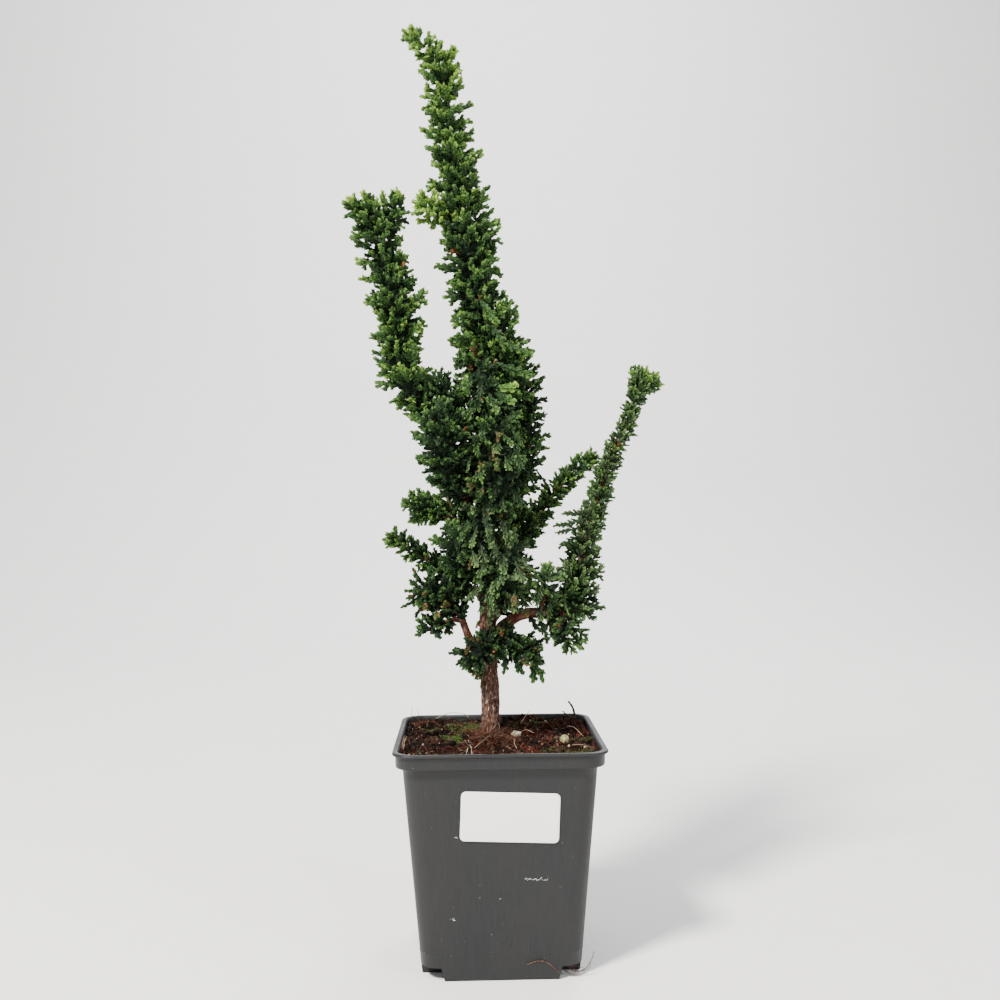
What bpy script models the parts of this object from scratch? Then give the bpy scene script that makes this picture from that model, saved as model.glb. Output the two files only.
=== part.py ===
# Hinoki cypress bonsai in a square nursery pot.
# One woody solid holds the trunk, its limbs and the root flare. Each limb carries a foliage solid: a
# slim core round the limb that flat, toothed sprays stand out of. The tree stands in a soil block that
# fills a thin plastic pot with a blank label, and a few scraps lie on the soil.
# Frame: +Z up, -Y is the front, and the origin is the middle of the pot's flat base.

import math
import random

import bmesh
import bpy
import numpy as np
from mathutils import Matrix, Vector, noise
from mathutils.bvhtree import BVHTree

MM = 0.001
GAP = 0.35 * MM
MERGE = 0.002 * MM

# Pot: its outer widths, bottom to top
POT_HEIGHT = 118 * MM
LIP_WIDTH = 110 * MM
BAND_WIDTH = 106.6 * MM
WALL_TOP_WIDTH = 100 * MM
BASE_WIDTH = 82 * MM
BAND_BOTTOM = 109.5 * MM
BAND_STEP = 1.0 * MM
LIP_THICKNESS = 1.7 * MM
POT_WALL = 1.4 * MM
POT_CORNER = 11 * MM
CORNER_STEPS = 3
FOOT_HALF_LENGTH = 30 * MM
FOOT_HEIGHT = 7 * MM
DRAIN_RADIUS = 2.5 * MM
DRAIN_OFFSET = 33.5 * MM
DRAIN_SIDES = 10

# Label on the front wall
LABEL_WIDTH = 50 * MM
LABEL_HEIGHT = 25.5 * MM
LABEL_THICKNESS = 0.5 * MM
LABEL_CORNER = 2.5 * MM
LABEL_X = 4.5 * MM
LABEL_Z = 85 * MM
LABEL_ROLL = math.radians(1.4)

# Soil
SOIL_LEVEL = 112.6 * MM
SOIL_CELLS = 10
SOIL_BUMP = 1.3 * MM
SOIL_BUMP_SIZE = 9 * MM
SOIL_MOUND = 1.8 * MM
SOIL_MOUND_RADIUS = 16 * MM

# A limb is (wood radii at its root and tip, share of its route that is woody, route). A route point
# is x, y, z and the reach of the foliage there, in mm, with reach 0 on the bare wood.
LIMBS = {
    "leader": ((5.2, 0.9), 0.93, [
        (-4, 0, 118, 0), (-4, 0, 138, 0), (-5, 0, 163, 0), (-5, 1, 190, 0), (-6, 2, 218, 0),
        (-5, 1, 250, 12), (-4, 0, 268, 14), (-2, 0, 290, 16), (1, 0, 311, 19), (0, 0, 326, 22),
        (-4, 0, 341, 20), (-9, 0, 355, 17), (-12, 0, 372, 16), (-14, 0, 388, 17), (-17, 0, 405, 16),
        (-19, 0, 418, 16), (-21, 0, 432, 15), (-24, 0, 446, 14), (-25, 0, 463, 13),
        (-27, 0, 476, 12), (-31, 0, 487, 10), (-37, 0, 496, 9), (-44, 0, 501, 7)]),
    "left_spire": ((2.6, 0.9), 0.88, [
        (-5, 1, 238, 0), (-15, -2, 256, 0), (-25, -3, 273, 0), (-34, -3, 290, 13),
        (-45, -4, 306, 16), (-53, -4, 322, 15), (-53, -3, 337, 15), (-54, -3, 350, 16),
        (-57, -2, 362, 15), (-59, -2, 374, 14), (-63, -2, 388, 13), (-66, -2, 399, 13),
        (-67, -2, 406, 11)]),
    "left_dome": ((2.2, 1.0), 0.80, [
        (-5, 1, 226, 0), (-13, -9, 238, 10), (-22, -16, 250, 16), (-28, -21, 264, 19),
        (-30, -23, 277, 19), (-28, -22, 288, 16)]),
    "right_body": ((2.2, 1.0), 0.80, [
        (-5, 1, 228, 0), (4, 6, 238, 9), (11, 9, 251, 14), (14, 10, 266, 15), (15, 10, 281, 15),
        (15, 10, 292, 13)]),
    "front_upper": ((2.2, 1.0), 0.80, [
        (-5, 1, 220, 0), (-4, -9, 231, 10), (-2, -18, 243, 17), (-1, -23, 257, 19),
        (-1, -24, 271, 19), (-2, -21, 285, 17)]),
    "front_lower": ((2.1, 1.0), 0.80, [
        (-5, 1, 182, 0), (-3, -9, 189, 10), (1, -16, 198, 16), (4, -20, 208, 18),
        (5, -21, 218, 15)]),
    "back_upper": ((2.2, 1.0), 0.80, [
        (-5, 1, 236, 0), (-6, 11, 247, 10), (-7, 19, 259, 16), (-7, 23, 272, 19),
        (-6, 22, 286, 17)]),
    "back_left": ((2.1, 1.0), 0.80, [
        (-5, 1, 214, 0), (-15, 8, 224, 10), (-23, 13, 236, 13), (-28, 15, 249, 15),
        (-30, 15, 262, 14)]),
    "back_lower": ((2.1, 1.0), 0.80, [
        (-5, 1, 194, 0), (-6, 11, 202, 10), (-7, 19, 212, 16), (-7, 23, 223, 18),
        (-7, 23, 233, 15)]),
    "back_right": ((2.0, 1.0), 0.80, [
        (-5, 1, 176, 0), (1, 9, 182, 9), (6, 15, 190, 13), (10, 19, 200, 14), (12, 20, 211, 13)]),
    "mid_left": ((1.9, 1.0), 0.80, [
        (-5, 1, 200, 0), (-12, -6, 205, 10), (-18, -12, 213, 15), (-21, -15, 224, 15)]),
    "left_knob": ((1.8, 0.9), 0.80, [
        (-5, 1, 222, 0), (-16, -1, 230, 0), (-27, -5, 237, 9), (-36, -7, 241, 11),
        (-42, -8, 243, 11)]),
    "left_point": ((1.9, 0.8), 0.75, [
        (-5, 1, 190, 0), (-15, 4, 197, 8), (-25, 6, 205, 9), (-36, 7, 213, 8), (-47, 7, 221, 7),
        (-56, 7, 226, 5)]),
    "low_left": ((2.3, 1.0), 0.82, [
        (-4, 0, 163, 0), (-12, -3, 169, 0), (-18, -5, 180, 8), (-25, -6, 189, 12),
        (-32, -7, 195, 14), (-38, -8, 197, 12)]),
    "low_left_tip": ((1.5, 0.8), 0.80, [
        (-18, -5, 180, 0), (-25, -11, 181, 7), (-32, -13, 178, 10), (-38, -13, 176, 9)]),
    "skirt_left": ((1.8, 1.0), 0.80, [
        (-4, 0, 157, 0), (-6, -7, 161, 7), (-10, -12, 162, 12), (-15, -14, 160, 11)]),
    "skirt_right": ((1.9, 0.8), 0.80, [
        (-4, 0, 160, 0), (3, -5, 165, 7), (9, -7, 166, 11), (17, -8, 163, 11), (22, -8, 158, 9)]),
    "skirt_back": ((1.8, 1.0), 0.80, [
        (-4, 0, 156, 0), (-4, 8, 160, 7), (-3, 14, 162, 11), (-3, 20, 161, 11)]),
    "right_long": ((2.8, 0.8), 0.94, [
        (-4, 0, 168, 0), (4, -4, 177, 0), (14, -6, 183, 0), (24, -6, 184, 11), (34, -6, 187, 14),
        (42, -4, 195, 16), (46, -2, 207, 14), (50, -1, 219, 12), (53, 0, 233, 9), (56, 0, 246, 9),
        (61, 0, 261, 7), (66, 0, 274, 7), (71, 0, 286, 7), (75, 0, 297, 8), (79, 0, 305, 8)]),
    "right_second": ((2.0, 0.8), 0.80, [
        (-5, 1, 206, 0), (4, 7, 212, 0), (12, 9, 221, 9), (19, 10, 231, 9), (25, 10, 241, 9),
        (32, 10, 252, 8), (39, 10, 260, 7), (46, 9, 266, 7), (54, 9, 270, 6)]),
    "right_droop": ((1.4, 0.8), 0.80, [
        (34, -6, 187, 0), (35, -13, 183, 8), (37, -18, 175, 12), (37, -20, 166, 10)]),
    "right_mid": ((1.5, 0.9), 0.80, [
        (24, -6, 184, 0), (24, -14, 191, 9), (25, -19, 200, 13), (26, -20, 211, 11)]),
}

# Side shoots that part from a limb's core, each a route of the same kind
SIDE_SHOOTS = {
    "leader": [[(-19, 0, 403, 8), (-30, -1, 406, 8), (-38, -1, 410, 8)],
               [(-27, 0, 475, 7), (-24, 0, 486, 7)]],
    "left_spire": [[(-66, -2, 402, 8), (-76, -3, 409, 8)],
                   [(-61, -2, 377, 7), (-52, -4, 383, 7)]],
    "right_long": [[(78, 0, 302, 8), (86, 0, 309, 8)]],
}

# Trunk below the soil, as (z, radius) in mm, and its surface roots, by their bearings in degrees
TRUNK_FOOT = ((86, 3.4), (99, 5.2), (108, 6.6), (113, 6.9))
ROOT_BEARINGS = (15, 108, 232, 300)
ROOT_RADII = (3.0, 2.0, 0.9)
ROOT_REACH = 19 * MM
ROOT_DROP = 7 * MM
ROOT_START_Z = 115.5 * MM
WOOD_STEP = 22 * MM
WOOD_TAPER = 0.8

# Foliage: a lattice of points round the limb at the core's radius, of which each third one is drawn
# out into a flat spray with three teeth. Shares are of the reach, except where a name says otherwise.
CORE_SHARE = (0.40, 0.50)
CORE_SIDES = (6, 9)
CORE_CELL = 6.4 * MM
CORE_UNEVENNESS = 0.12
CELL_JITTER = 0.20
END_TAPER = (0.62, 0.88)
BUTT_SHARE = 0.35
TIP_SHARE = 0.8
SLIM_REACH = 6 * MM
FULL_REACH = 13 * MM
TERRITORY_STEP = 3.0
TERRITORY_MARGIN = 0.10
SPRAY_REACH = (0.80, 1.10)
SPRAY_LEAN = (0.35, 0.95)
SPRAY_TWIST = 0.40
SPRAY_ROLL = 1.1
SPRAY_THICKNESS = 2.2 * MM
SPRAY_SHRINK = 0.72
SPRAY_ROUNDS = 12
SPRAY_LEAST = 0.25

# One spray, in shares of its length: along it, across it, and how far a tooth lifts out of its plane
RIGHT_TOOTH = (0.66, 0.46, 0.16)
LEFT_TOOTH = (0.54, -0.44, -0.14)
RIGHT_NOTCH = (0.58, 0.13)
LEFT_NOTCH = (0.52, -0.13)

# Scraps on the soil: the place of each in mm
BALL_PLACE = (36, -6)
BALL_RADIUS = 2.7 * MM
BALL_SINK = 0.9 * MM
CHIP_PLACE = (10, 7)
CHIP_RADIUS = 2.3 * MM
CHIP_WIDTH = 3.2 * MM
CHIP_THICKNESS = 0.7 * MM
CHIP_SINK = 0.4 * MM
CHIP_STEPS = 5
CHIP_TURN = 0.6
MOSS_TUFTS = ((-21, 3, 5.5, 4.0), (-36, 26, 4.5, 3.0))
MOSS_FUZZ = 1.3 * MM
MOSS_SINK = 0.35 * MM
TWIG = ((45, 42, 108), (45, 41.5, 115), (43.7, 41, 121), (42.4, 40.5, 127))
TWIG_SHOOT = ((44.6, 41.3, 117), (41, 41, 120), (38.5, 40.5, 121.5))
TWIG_RADII = (0.8, 0.5)
LOOP = ((-18, -41, 108), (-17.6, -41, 114), (-16.5, -40.5, 118), (-14.8, -40.5, 118.4),
        (-13.6, -41, 114), (-13.4, -41, 108))
LOOP_RADIUS = 0.55


def clear_scene():
    for obj in list(bpy.data.objects):
        bpy.data.objects.remove(obj, do_unlink=True)


def new_collection(name):
    made = bpy.data.collections.new(name)
    bpy.context.scene.collection.children.link(made)
    return made


def finish_material(name, colour, roughness):
    material = bpy.data.materials.new(name)
    material.use_nodes = True
    shader = material.node_tree.nodes["Principled BSDF"]
    shader.inputs["Base Color"].default_value = (*colour, 1.0)
    shader.inputs["Roughness"].default_value = roughness
    shader.inputs["Metallic"].default_value = 0.0
    return material


def object_from_mesh(name, mesh, collection):
    obj = bpy.data.objects.new(name, mesh)
    collection.objects.link(obj)
    return obj


def object_from_bmesh(name, bm, collection):
    bmesh.ops.recalc_face_normals(bm, faces=bm.faces)
    mesh = bpy.data.meshes.new(name)
    bm.to_mesh(mesh)
    bm.free()
    return object_from_mesh(name, mesh, collection)


def remove_all(objects):
    for obj in list(objects):
        bpy.data.objects.remove(obj, do_unlink=True)


def evaluated_mesh(obj):
    depsgraph = bpy.context.evaluated_depsgraph_get()
    return bpy.data.meshes.new_from_object(obj.evaluated_get(depsgraph))


def apply_boolean(obj, operation, operands):
    """Join obj with a collection of solids, or cut them from it, and keep the result as its mesh."""
    modifier = obj.modifiers.new(operation.title(), "BOOLEAN")
    modifier.operation = operation
    modifier.operand_type = "COLLECTION"
    modifier.collection = operands
    modifier.solver = "EXACT"
    joined = evaluated_mesh(obj)
    obj.modifiers.remove(modifier)
    obj.data = joined


def keep_largest_body(obj):
    """Drop the loose scraps and the sealed hollows that cutting and joining can leave."""
    bm = bmesh.new()
    bm.from_mesh(obj.data)
    bmesh.ops.remove_doubles(bm, verts=bm.verts, dist=MERGE)
    bmesh.ops.dissolve_degenerate(bm, dist=MERGE, edges=bm.edges)
    bodies = []
    waiting = set(bm.verts)
    while waiting:
        body = {waiting.pop()}
        edge_of_body = list(body)
        while edge_of_body:
            vert = edge_of_body.pop()
            for edge in vert.link_edges:
                other = edge.other_vert(vert)
                if other in waiting:
                    waiting.discard(other)
                    body.add(other)
                    edge_of_body.append(other)
        bodies.append(body)
    largest = max(bodies, key=len)
    scraps = [vert for vert in bm.verts if vert not in largest]
    bmesh.ops.delete(bm, geom=scraps, context="VERTS")
    bmesh.ops.triangulate(bm, faces=bm.faces)
    bm.to_mesh(obj.data)
    bm.free()


def smooth_route(rows, step):
    """Rows about every step along the curve through rows of x, y, z and one more value."""
    rows = np.array(rows, dtype=float)
    ends = np.vstack([2 * rows[0] - rows[1], rows, 2 * rows[-1] - rows[-2]])
    fine = []
    for start in range(len(rows) - 1):
        a, b, c, d = ends[start:start + 4]
        for t in np.linspace(0, 1, 8, endpoint=False):
            fine.append(0.5 * (2 * b + (c - a) * t + (2 * a - 5 * b + 4 * c - d) * t ** 2
                               + (3 * b - a - 3 * c + d) * t ** 3))
    fine = np.array(fine + [rows[-1]])
    steps = np.linalg.norm(np.diff(fine[:, :3], axis=0), axis=1)
    along = np.concatenate([[0], np.cumsum(steps)])
    count = max(2, round(along[-1] / step) + 1)
    stations = np.linspace(0, along[-1], count)
    return np.array([np.interp(stations, along, fine[:, column]) for column in range(4)]).T


def tube(name, points, radii, resolution, collection):
    """A closed tube through the points, with a radius at each, as a mesh object."""
    curve = bpy.data.curves.new(name, "CURVE")
    curve.dimensions = "3D"
    curve.bevel_depth = MM
    curve.bevel_resolution = resolution
    curve.use_fill_caps = True
    spline = curve.splines.new("POLY")
    spline.points.add(len(points) - 1)
    for point, place, radius in zip(spline.points, points, radii):
        point.co = (*place, 1.0)
        point.radius = radius / MM
    guide = bpy.data.objects.new(name, curve)
    collection.objects.link(guide)
    bpy.context.view_layer.update()
    bm = bmesh.new()
    bm.from_mesh(evaluated_mesh(guide))
    bpy.data.objects.remove(guide, do_unlink=True)
    bmesh.ops.remove_doubles(bm, verts=bm.verts, dist=MERGE)
    return object_from_bmesh(name, bm, collection)


# Pot, label and soil

def wall_half(z):
    return (BASE_WIDTH + (WALL_TOP_WIDTH - BASE_WIDTH) * z / BAND_BOTTOM) / 2


def raise_face(bm, face, scale, z):
    """Extrude a level face and bring it to height z, scaled about the pot's middle."""
    raised = bmesh.ops.extrude_discrete_faces(bm, faces=[face])["faces"][0]
    for vert in raised.verts:
        vert.co.x *= scale
        vert.co.y *= scale
        vert.co.z = z
    return raised


def tub(name, inset, floor, top, lip, collection):
    """The pot's outer form, drawn in by inset, as a closed solid from floor to top."""
    bm = bmesh.new()
    bmesh.ops.create_cube(bm, size=2.0)
    for vert in bm.verts:
        z = floor if vert.co.z < 0 else BAND_BOTTOM
        half = wall_half(z) - inset
        vert.co = Vector((vert.co.x * half, vert.co.y * half, z))
    corners = [edge for edge in bm.edges if abs(edge.verts[0].co.z - edge.verts[1].co.z) > MM]
    bmesh.ops.bevel(bm, geom=corners, offset=POT_CORNER - inset, segments=CORNER_STEPS,
                    affect="EDGES", profile=0.5)
    face = max(bm.faces, key=lambda item: item.calc_center_median().z)
    band = BAND_WIDTH / 2 - inset
    face = raise_face(bm, face, band / (WALL_TOP_WIDTH / 2 - inset), BAND_BOTTOM + BAND_STEP)
    if lip:
        face = raise_face(bm, face, 1.0, POT_HEIGHT - LIP_THICKNESS)
        face = raise_face(bm, face, LIP_WIDTH / BAND_WIDTH, POT_HEIGHT - 0.8 * LIP_THICKNESS)
    raise_face(bm, face, 1.0, top)
    form = object_from_bmesh(name, bm, collection)
    notches = new_collection("Notches")
    depth = 2 * (FOOT_HEIGHT + inset)
    for side_x in (-1, 1):
        for side_y in (-1, 1):
            bm = bmesh.new()
            bmesh.ops.create_cube(bm, size=1.0)
            near = FOOT_HALF_LENGTH - inset
            size = BASE_WIDTH / 2
            bmesh.ops.scale(bm, vec=(size, size, depth), verts=bm.verts)
            middle = near + size / 2
            bmesh.ops.translate(bm, vec=(side_x * middle, side_y * middle, 0), verts=bm.verts)
            object_from_bmesh("Notch", bm, notches)
    apply_boolean(form, "DIFFERENCE", notches)
    remove_all(notches.objects)
    bpy.data.collections.remove(notches)
    return form


def build_pot(collection, cutters):
    pot = tub("pot", 0, 0, POT_HEIGHT, True, collection)
    tub("Pot cavity", POT_WALL, POT_WALL, POT_HEIGHT + 5 * MM, False, cutters)
    for side_x in (-1, 1):
        for side_y in (-1, 1):
            bm = bmesh.new()
            bmesh.ops.create_cone(bm, cap_ends=True, segments=DRAIN_SIDES, radius1=DRAIN_RADIUS,
                                  radius2=DRAIN_RADIUS, depth=2 * FOOT_HEIGHT)
            place = (side_x * DRAIN_OFFSET, side_y * DRAIN_OFFSET, FOOT_HEIGHT)
            bmesh.ops.translate(bm, vec=place, verts=bm.verts)
            object_from_bmesh("Drain", bm, cutters)
    apply_boolean(pot, "DIFFERENCE", cutters)
    keep_largest_body(pot)
    remove_all(cutters.objects)
    return pot


def build_label(collection):
    bm = bmesh.new()
    bmesh.ops.create_cube(bm, size=1.0)
    bmesh.ops.scale(bm, vec=(LABEL_WIDTH, LABEL_THICKNESS, LABEL_HEIGHT), verts=bm.verts)
    corners = [edge for edge in bm.edges if abs(edge.verts[0].co.y - edge.verts[1].co.y) > 0.1 * MM]
    bmesh.ops.bevel(bm, geom=corners, offset=LABEL_CORNER, segments=3, affect="EDGES", profile=0.5)
    label = object_from_bmesh("label", bm, collection)
    slope = math.atan((WALL_TOP_WIDTH - BASE_WIDTH) / 2 / BAND_BOTTOM)
    front = -wall_half(LABEL_Z) - (GAP + LABEL_THICKNESS / 2) / math.cos(slope)
    label.location = (LABEL_X, front, LABEL_Z)
    label.rotation_euler = (slope, LABEL_ROLL, 0)
    return label


def soil_height(x, y):
    """The height of the soil's surface, with a mound at the trunk."""
    trunk_x = LIMBS["leader"][2][0][0] * MM
    mound = SOIL_MOUND * math.exp(-((x - trunk_x) ** 2 + y ** 2) / SOIL_MOUND_RADIUS ** 2)
    bump = noise.noise(Vector((x, y, 0)) / SOIL_BUMP_SIZE) * SOIL_BUMP
    return SOIL_LEVEL + mound + bump


def build_soil(collection, holes):
    """The soil block: the pot's inner form under a bumpy top, with a plain hole for what stands in it."""
    soil = tub("soil", POT_WALL + GAP, POT_WALL + GAP, POT_HEIGHT, False, collection)
    above = new_collection("Above soil")
    bm = bmesh.new()
    half = 0.55 * LIP_WIDTH
    bmesh.ops.create_grid(bm, x_segments=SOIL_CELLS, y_segments=SOIL_CELLS, size=half)
    for vert in bm.verts:
        vert.co.z = soil_height(vert.co.x, vert.co.y)
    bmesh.ops.triangulate(bm, faces=bm.faces)
    raised = bmesh.ops.extrude_face_region(bm, geom=list(bm.faces))["geom"]
    for item in raised:
        if isinstance(item, bmesh.types.BMVert):
            item.co.z = POT_HEIGHT + 10 * MM
    object_from_bmesh("Air", bm, above)
    apply_boolean(soil, "DIFFERENCE", above)
    remove_all(above.objects)
    bpy.data.collections.remove(above)
    apply_boolean(soil, "DIFFERENCE", holes)
    keep_largest_body(soil)
    return soil


# Wood

def limb_route(name, step):
    """A limb's woody stretch, as points and wood radii in metres."""
    (root_radius, tip_radius), woody, route = LIMBS[name]
    rows = smooth_route(route, 1.0)
    rows = rows[:max(2, round(len(rows) * woody))]
    length = len(rows)
    count = max(2, round(length * MM / step) + 1)
    picks = np.linspace(0, length - 1, count).round().astype(int)
    shares = picks / (length - 1)
    radii = root_radius + (tip_radius - root_radius) * shares ** WOOD_TAPER
    return rows[picks, :3] * MM, radii * MM


def wood_tubes(grow, collection):
    """The trunk, limbs and surface roots as loose tubes, each wider by grow. The trunk is the first."""
    tubes = {}
    points, radii = limb_route("leader", WOOD_STEP)
    x, y = points[0][:2]
    foot_points = [Vector((x, y, z * MM)) for z, radius in TRUNK_FOOT]
    foot_radii = [radius * MM for z, radius in TRUNK_FOOT]
    points = [*foot_points, *(Vector(point) for point in points)]
    radii = [*foot_radii, *radii]
    points[0].z -= grow
    points[-1].z += grow
    tubes["leader"] = tube("trunk", points, [radius + grow for radius in radii], 2, collection)
    for name in LIMBS:
        if name == "leader":
            continue
        points, radii = limb_route(name, WOOD_STEP)
        last = points[-1] - points[-2]
        points[-1] += last / np.linalg.norm(last) * grow
        tubes[name] = tube(name, points, radii + grow, 1, collection)
    for bearing in ROOT_BEARINGS:
        out = Vector((math.cos(math.radians(bearing)), math.sin(math.radians(bearing)), 0))
        start = Vector((x, y, ROOT_START_Z))
        middle = start + out * ROOT_REACH * 0.5 - Vector((0, 0, ROOT_DROP * 0.3))
        end = start + out * (ROOT_REACH + grow) - Vector((0, 0, ROOT_DROP))
        radii = [radius * MM + grow for radius in ROOT_RADII]
        tubes[f"root {bearing}"] = tube("root", [start, middle, end], radii, 1, collection)
    return tubes


def build_wood(collection, pieces):
    tubes = wood_tubes(0, pieces)
    wood = tubes["leader"]
    pieces.objects.unlink(wood)
    collection.objects.link(wood)
    apply_boolean(wood, "UNION", pieces)
    keep_largest_body(wood)
    wood.name = "trunk_and_limbs"
    remove_all(pieces.objects)
    return wood


# Foliage

def leafy_axes(name):
    """The routes that a limb's foliage grows round: its own leafy stretch, then its side shoots."""
    route = LIMBS[name][2]
    first = next(index for index, point in enumerate(route) if point[3])
    return [route[first:], *SIDE_SHOOTS.get(name, [])]


def fullness(reach):
    """0 for a slim shoot and 1 for a full one."""
    return min(1.0, max(0.0, (reach - SLIM_REACH) / (FULL_REACH - SLIM_REACH)))


def mix(pair, share):
    return pair[0] + (pair[1] - pair[0]) * share


def core_radius(reach):
    return reach * mix(CORE_SHARE, fullness(reach))


def foliage_samples():
    """Places along every leafy axis, as rows of x, y, z, reach and the number of the limb."""
    samples = []
    for number, name in enumerate(LIMBS):
        for axis in leafy_axes(name):
            rows = smooth_route(axis, TERRITORY_STEP) * MM
            samples.append(np.column_stack([rows, np.full(len(rows), number)]))
    return np.vstack(samples)


def in_territory(place, number, samples):
    """Whether a place lies nearer, as a share of the reach, to its own limb than to all others."""
    shares = np.linalg.norm(samples[:, :3] - np.array(place), axis=1) / samples[:, 3]
    own = samples[:, 4] == number
    return shares[~own].min() > shares[own].min() + TERRITORY_MARGIN


def core_rings(axis):
    """Ring centres, reaches, tangents and side vectors along a leafy axis, and the points in a ring."""
    rows = smooth_route(axis, 1.0) * MM
    reach = float(np.mean(rows[:, 3]))
    sides = 3 * round(mix(CORE_SIDES, fullness(reach)) / 3)
    rows = smooth_route(axis, CORE_CELL * math.sqrt(0.75) / MM) * MM
    rings = []
    side = None
    for index, row in enumerate(rows):
        before = rows[max(0, index - 1)][:3]
        after = rows[min(len(rows) - 1, index + 1)][:3]
        tangent = Vector(after - before).normalized()
        side = tangent.orthogonal() if side is None else side - tangent * side.dot(tangent)
        side.normalize()
        rings.append((Vector(row[:3]), row[3], tangent, side.copy()))
    return rings, sides


def spray_points(root, direction, side, length, rng):
    """The seven points of a spray: three tooth points, and both faces' points at its two notches."""
    normal = direction.cross(side)

    def tooth(along, across, lift):
        wide = across * rng.uniform(0.85, 1.15)
        return root + (direction * along + side * wide + normal * lift) * length

    def notch(along, across, face):
        return root + (direction * along + side * across) * length + normal * face * SPRAY_THICKNESS / 2

    return [tooth(*RIGHT_TOOTH), notch(*RIGHT_NOTCH, 1), notch(*RIGHT_NOTCH, -1),
            root + direction * length,
            notch(*LEFT_NOTCH, 1), notch(*LEFT_NOTCH, -1), tooth(*LEFT_TOOTH)]


def spray_faces(base, points):
    """The faces of a spray on the six points round its root, base, which start on its right side."""
    right, right_up, right_down, tip, left_up, left_down, left = points
    h0, h1, h2, h3, h4, h5 = base
    upper = [(h0, h1, right), (h1, right_up, right), (h1, h2, right_up), (h2, left_up, right_up),
             (h2, left, left_up), (h2, h3, left), (right_up, left_up, tip)]
    lower = [(h3, h4, left), (h4, left_down, left), (h4, h5, left_down), (h5, right_down, left_down),
             (h5, right, right_down), (h5, h0, right), (left_down, right_down, tip)]
    rims = [(right, right_up, right_down), (right_down, right_up, tip),
            (tip, left_up, left_down), (left_up, left, left_down)]
    return upper + lower + rims


def leafy_form(number, axis, samples, shares):
    """One leafy axis as vertices, faces and each face's spray. shares holds each spray's length."""
    rings, sides = core_rings(axis)
    cell = (rings[1][0] - rings[0][0]).length
    rng = random.Random(f"{number} {len(rings)}")
    verts = []
    outward = []
    for level, (centre, reach, tangent, side) in enumerate(rings):
        end = min(level, len(rings) - 1 - level)
        taper = END_TAPER[end] if end < len(END_TAPER) else 1.0
        for place in range(sides):
            turn = place + level / 2 + rng.uniform(-1, 1) * CELL_JITTER
            radial = Matrix.Rotation(2 * math.pi * turn / sides, 3, tangent) @ side
            low = core_radius(reach) * taper * (1 + rng.uniform(-1, 1) * CORE_UNEVENNESS)
            verts.append(centre + radial * low + tangent * cell * rng.uniform(-1, 1) * CELL_JITTER)
            outward.append((radial, low))

    def at(level, place):
        return level * sides + place % sides

    faces = []
    owners = []
    raised = set()
    for level in range(1, len(rings) - 1):
        centre, reach, tangent, side = rings[level]
        for place in range(sides):
            if (place - level) % 3:
                continue
            root = at(level, place)
            raised.add(root)
            radial, low = outward[root]
            around = tangent.cross(radial)
            lean = rng.uniform(*SPRAY_LEAN)
            direction = radial + tangent * lean + around * rng.uniform(-1, 1) * SPRAY_TWIST
            direction.normalize()
            length = (reach * rng.uniform(*SPRAY_REACH) - low) / direction.dot(radial)
            roll = rng.uniform(-1, 1) * SPRAY_ROLL
            flat = around - direction * direction.dot(around)
            flat = Matrix.Rotation(roll, 3, direction) @ flat.normalized()
            seed = rng.random()
            share = shares.setdefault(root, 1.0)
            points = spray_points(verts[root], direction, flat, length * share, random.Random(seed))
            while share > SPRAY_LEAST and not all(in_territory(point, number, samples)
                                                  for point in points):
                share *= SPRAY_SHRINK
                points = spray_points(verts[root], direction, flat, length * share,
                                      random.Random(seed))
            shares[root] = share
            ring = [at(level, place + 1), at(level + 1, place), at(level + 1, place - 1),
                    at(level, place - 1), at(level - 1, place), at(level - 1, place + 1)]
            first = max(range(6), key=lambda index: (verts[ring[index]] - verts[root]).dot(flat))
            base = ring[first:] + ring[:first]
            if share <= SPRAY_LEAST:
                stub = len(verts)
                verts.append(verts[root] + radial * SPRAY_THICKNESS / 2)
                made = [(base[index - 1], base[index], stub) for index in range(6)]
            else:
                numbers = list(range(len(verts), len(verts) + len(points)))
                verts.extend(points)
                made = spray_faces(base, numbers)
            faces += made
            owners += [root] * len(made)
    for level in range(len(rings) - 1):
        for place in range(sides):
            a, b = at(level, place), at(level, place + 1)
            c, d = at(level + 1, place), at(level + 1, place + 1)
            for face in ((a, b, c), (b, d, c)):
                if not raised.intersection(face):
                    faces.append(face)
                    owners.append(None)
    first, last = rings[0], rings[-1]
    butt = len(verts)
    verts.append(first[0] - first[2] * BUTT_SHARE * core_radius(first[1]))
    verts.append(last[0] + last[2] * TIP_SHARE * last[1])
    top = at(len(rings) - 1, 0)
    for place in range(sides):
        faces.append((at(0, place + 1), at(0, place), butt))
        faces.append((top + place, top + (place + 1) % sides, butt + 1))
        owners += [None, None]
    return verts, faces, owners


def shrink_crossing_sprays(forms, shares):
    """Shorten each spray that crosses another one or another core. True when some were shortened."""
    trees = {key: BVHTree.FromPolygons(form[0], form[1]) for key, form in forms.items()}
    found = set()
    keys = list(forms)
    for index, key in enumerate(keys):
        faces, owners = forms[key][1], forms[key][2]
        for first, second in trees[key].overlap(trees[key]):
            if first < second and not set(faces[first]) & set(faces[second]):
                found.add((key, owners[first]))
                found.add((key, owners[second]))
        for other in keys[index + 1:]:
            for first, second in trees[key].overlap(trees[other]):
                found.add((key, owners[first]))
                found.add((other, forms[other][2][second]))
    found = {(key, root) for key, root in found
             if root is not None and shares[key][root] > SPRAY_LEAST}
    for key, root in found:
        shares[key][root] *= SPRAY_SHRINK
    return len(found) > 0


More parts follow.
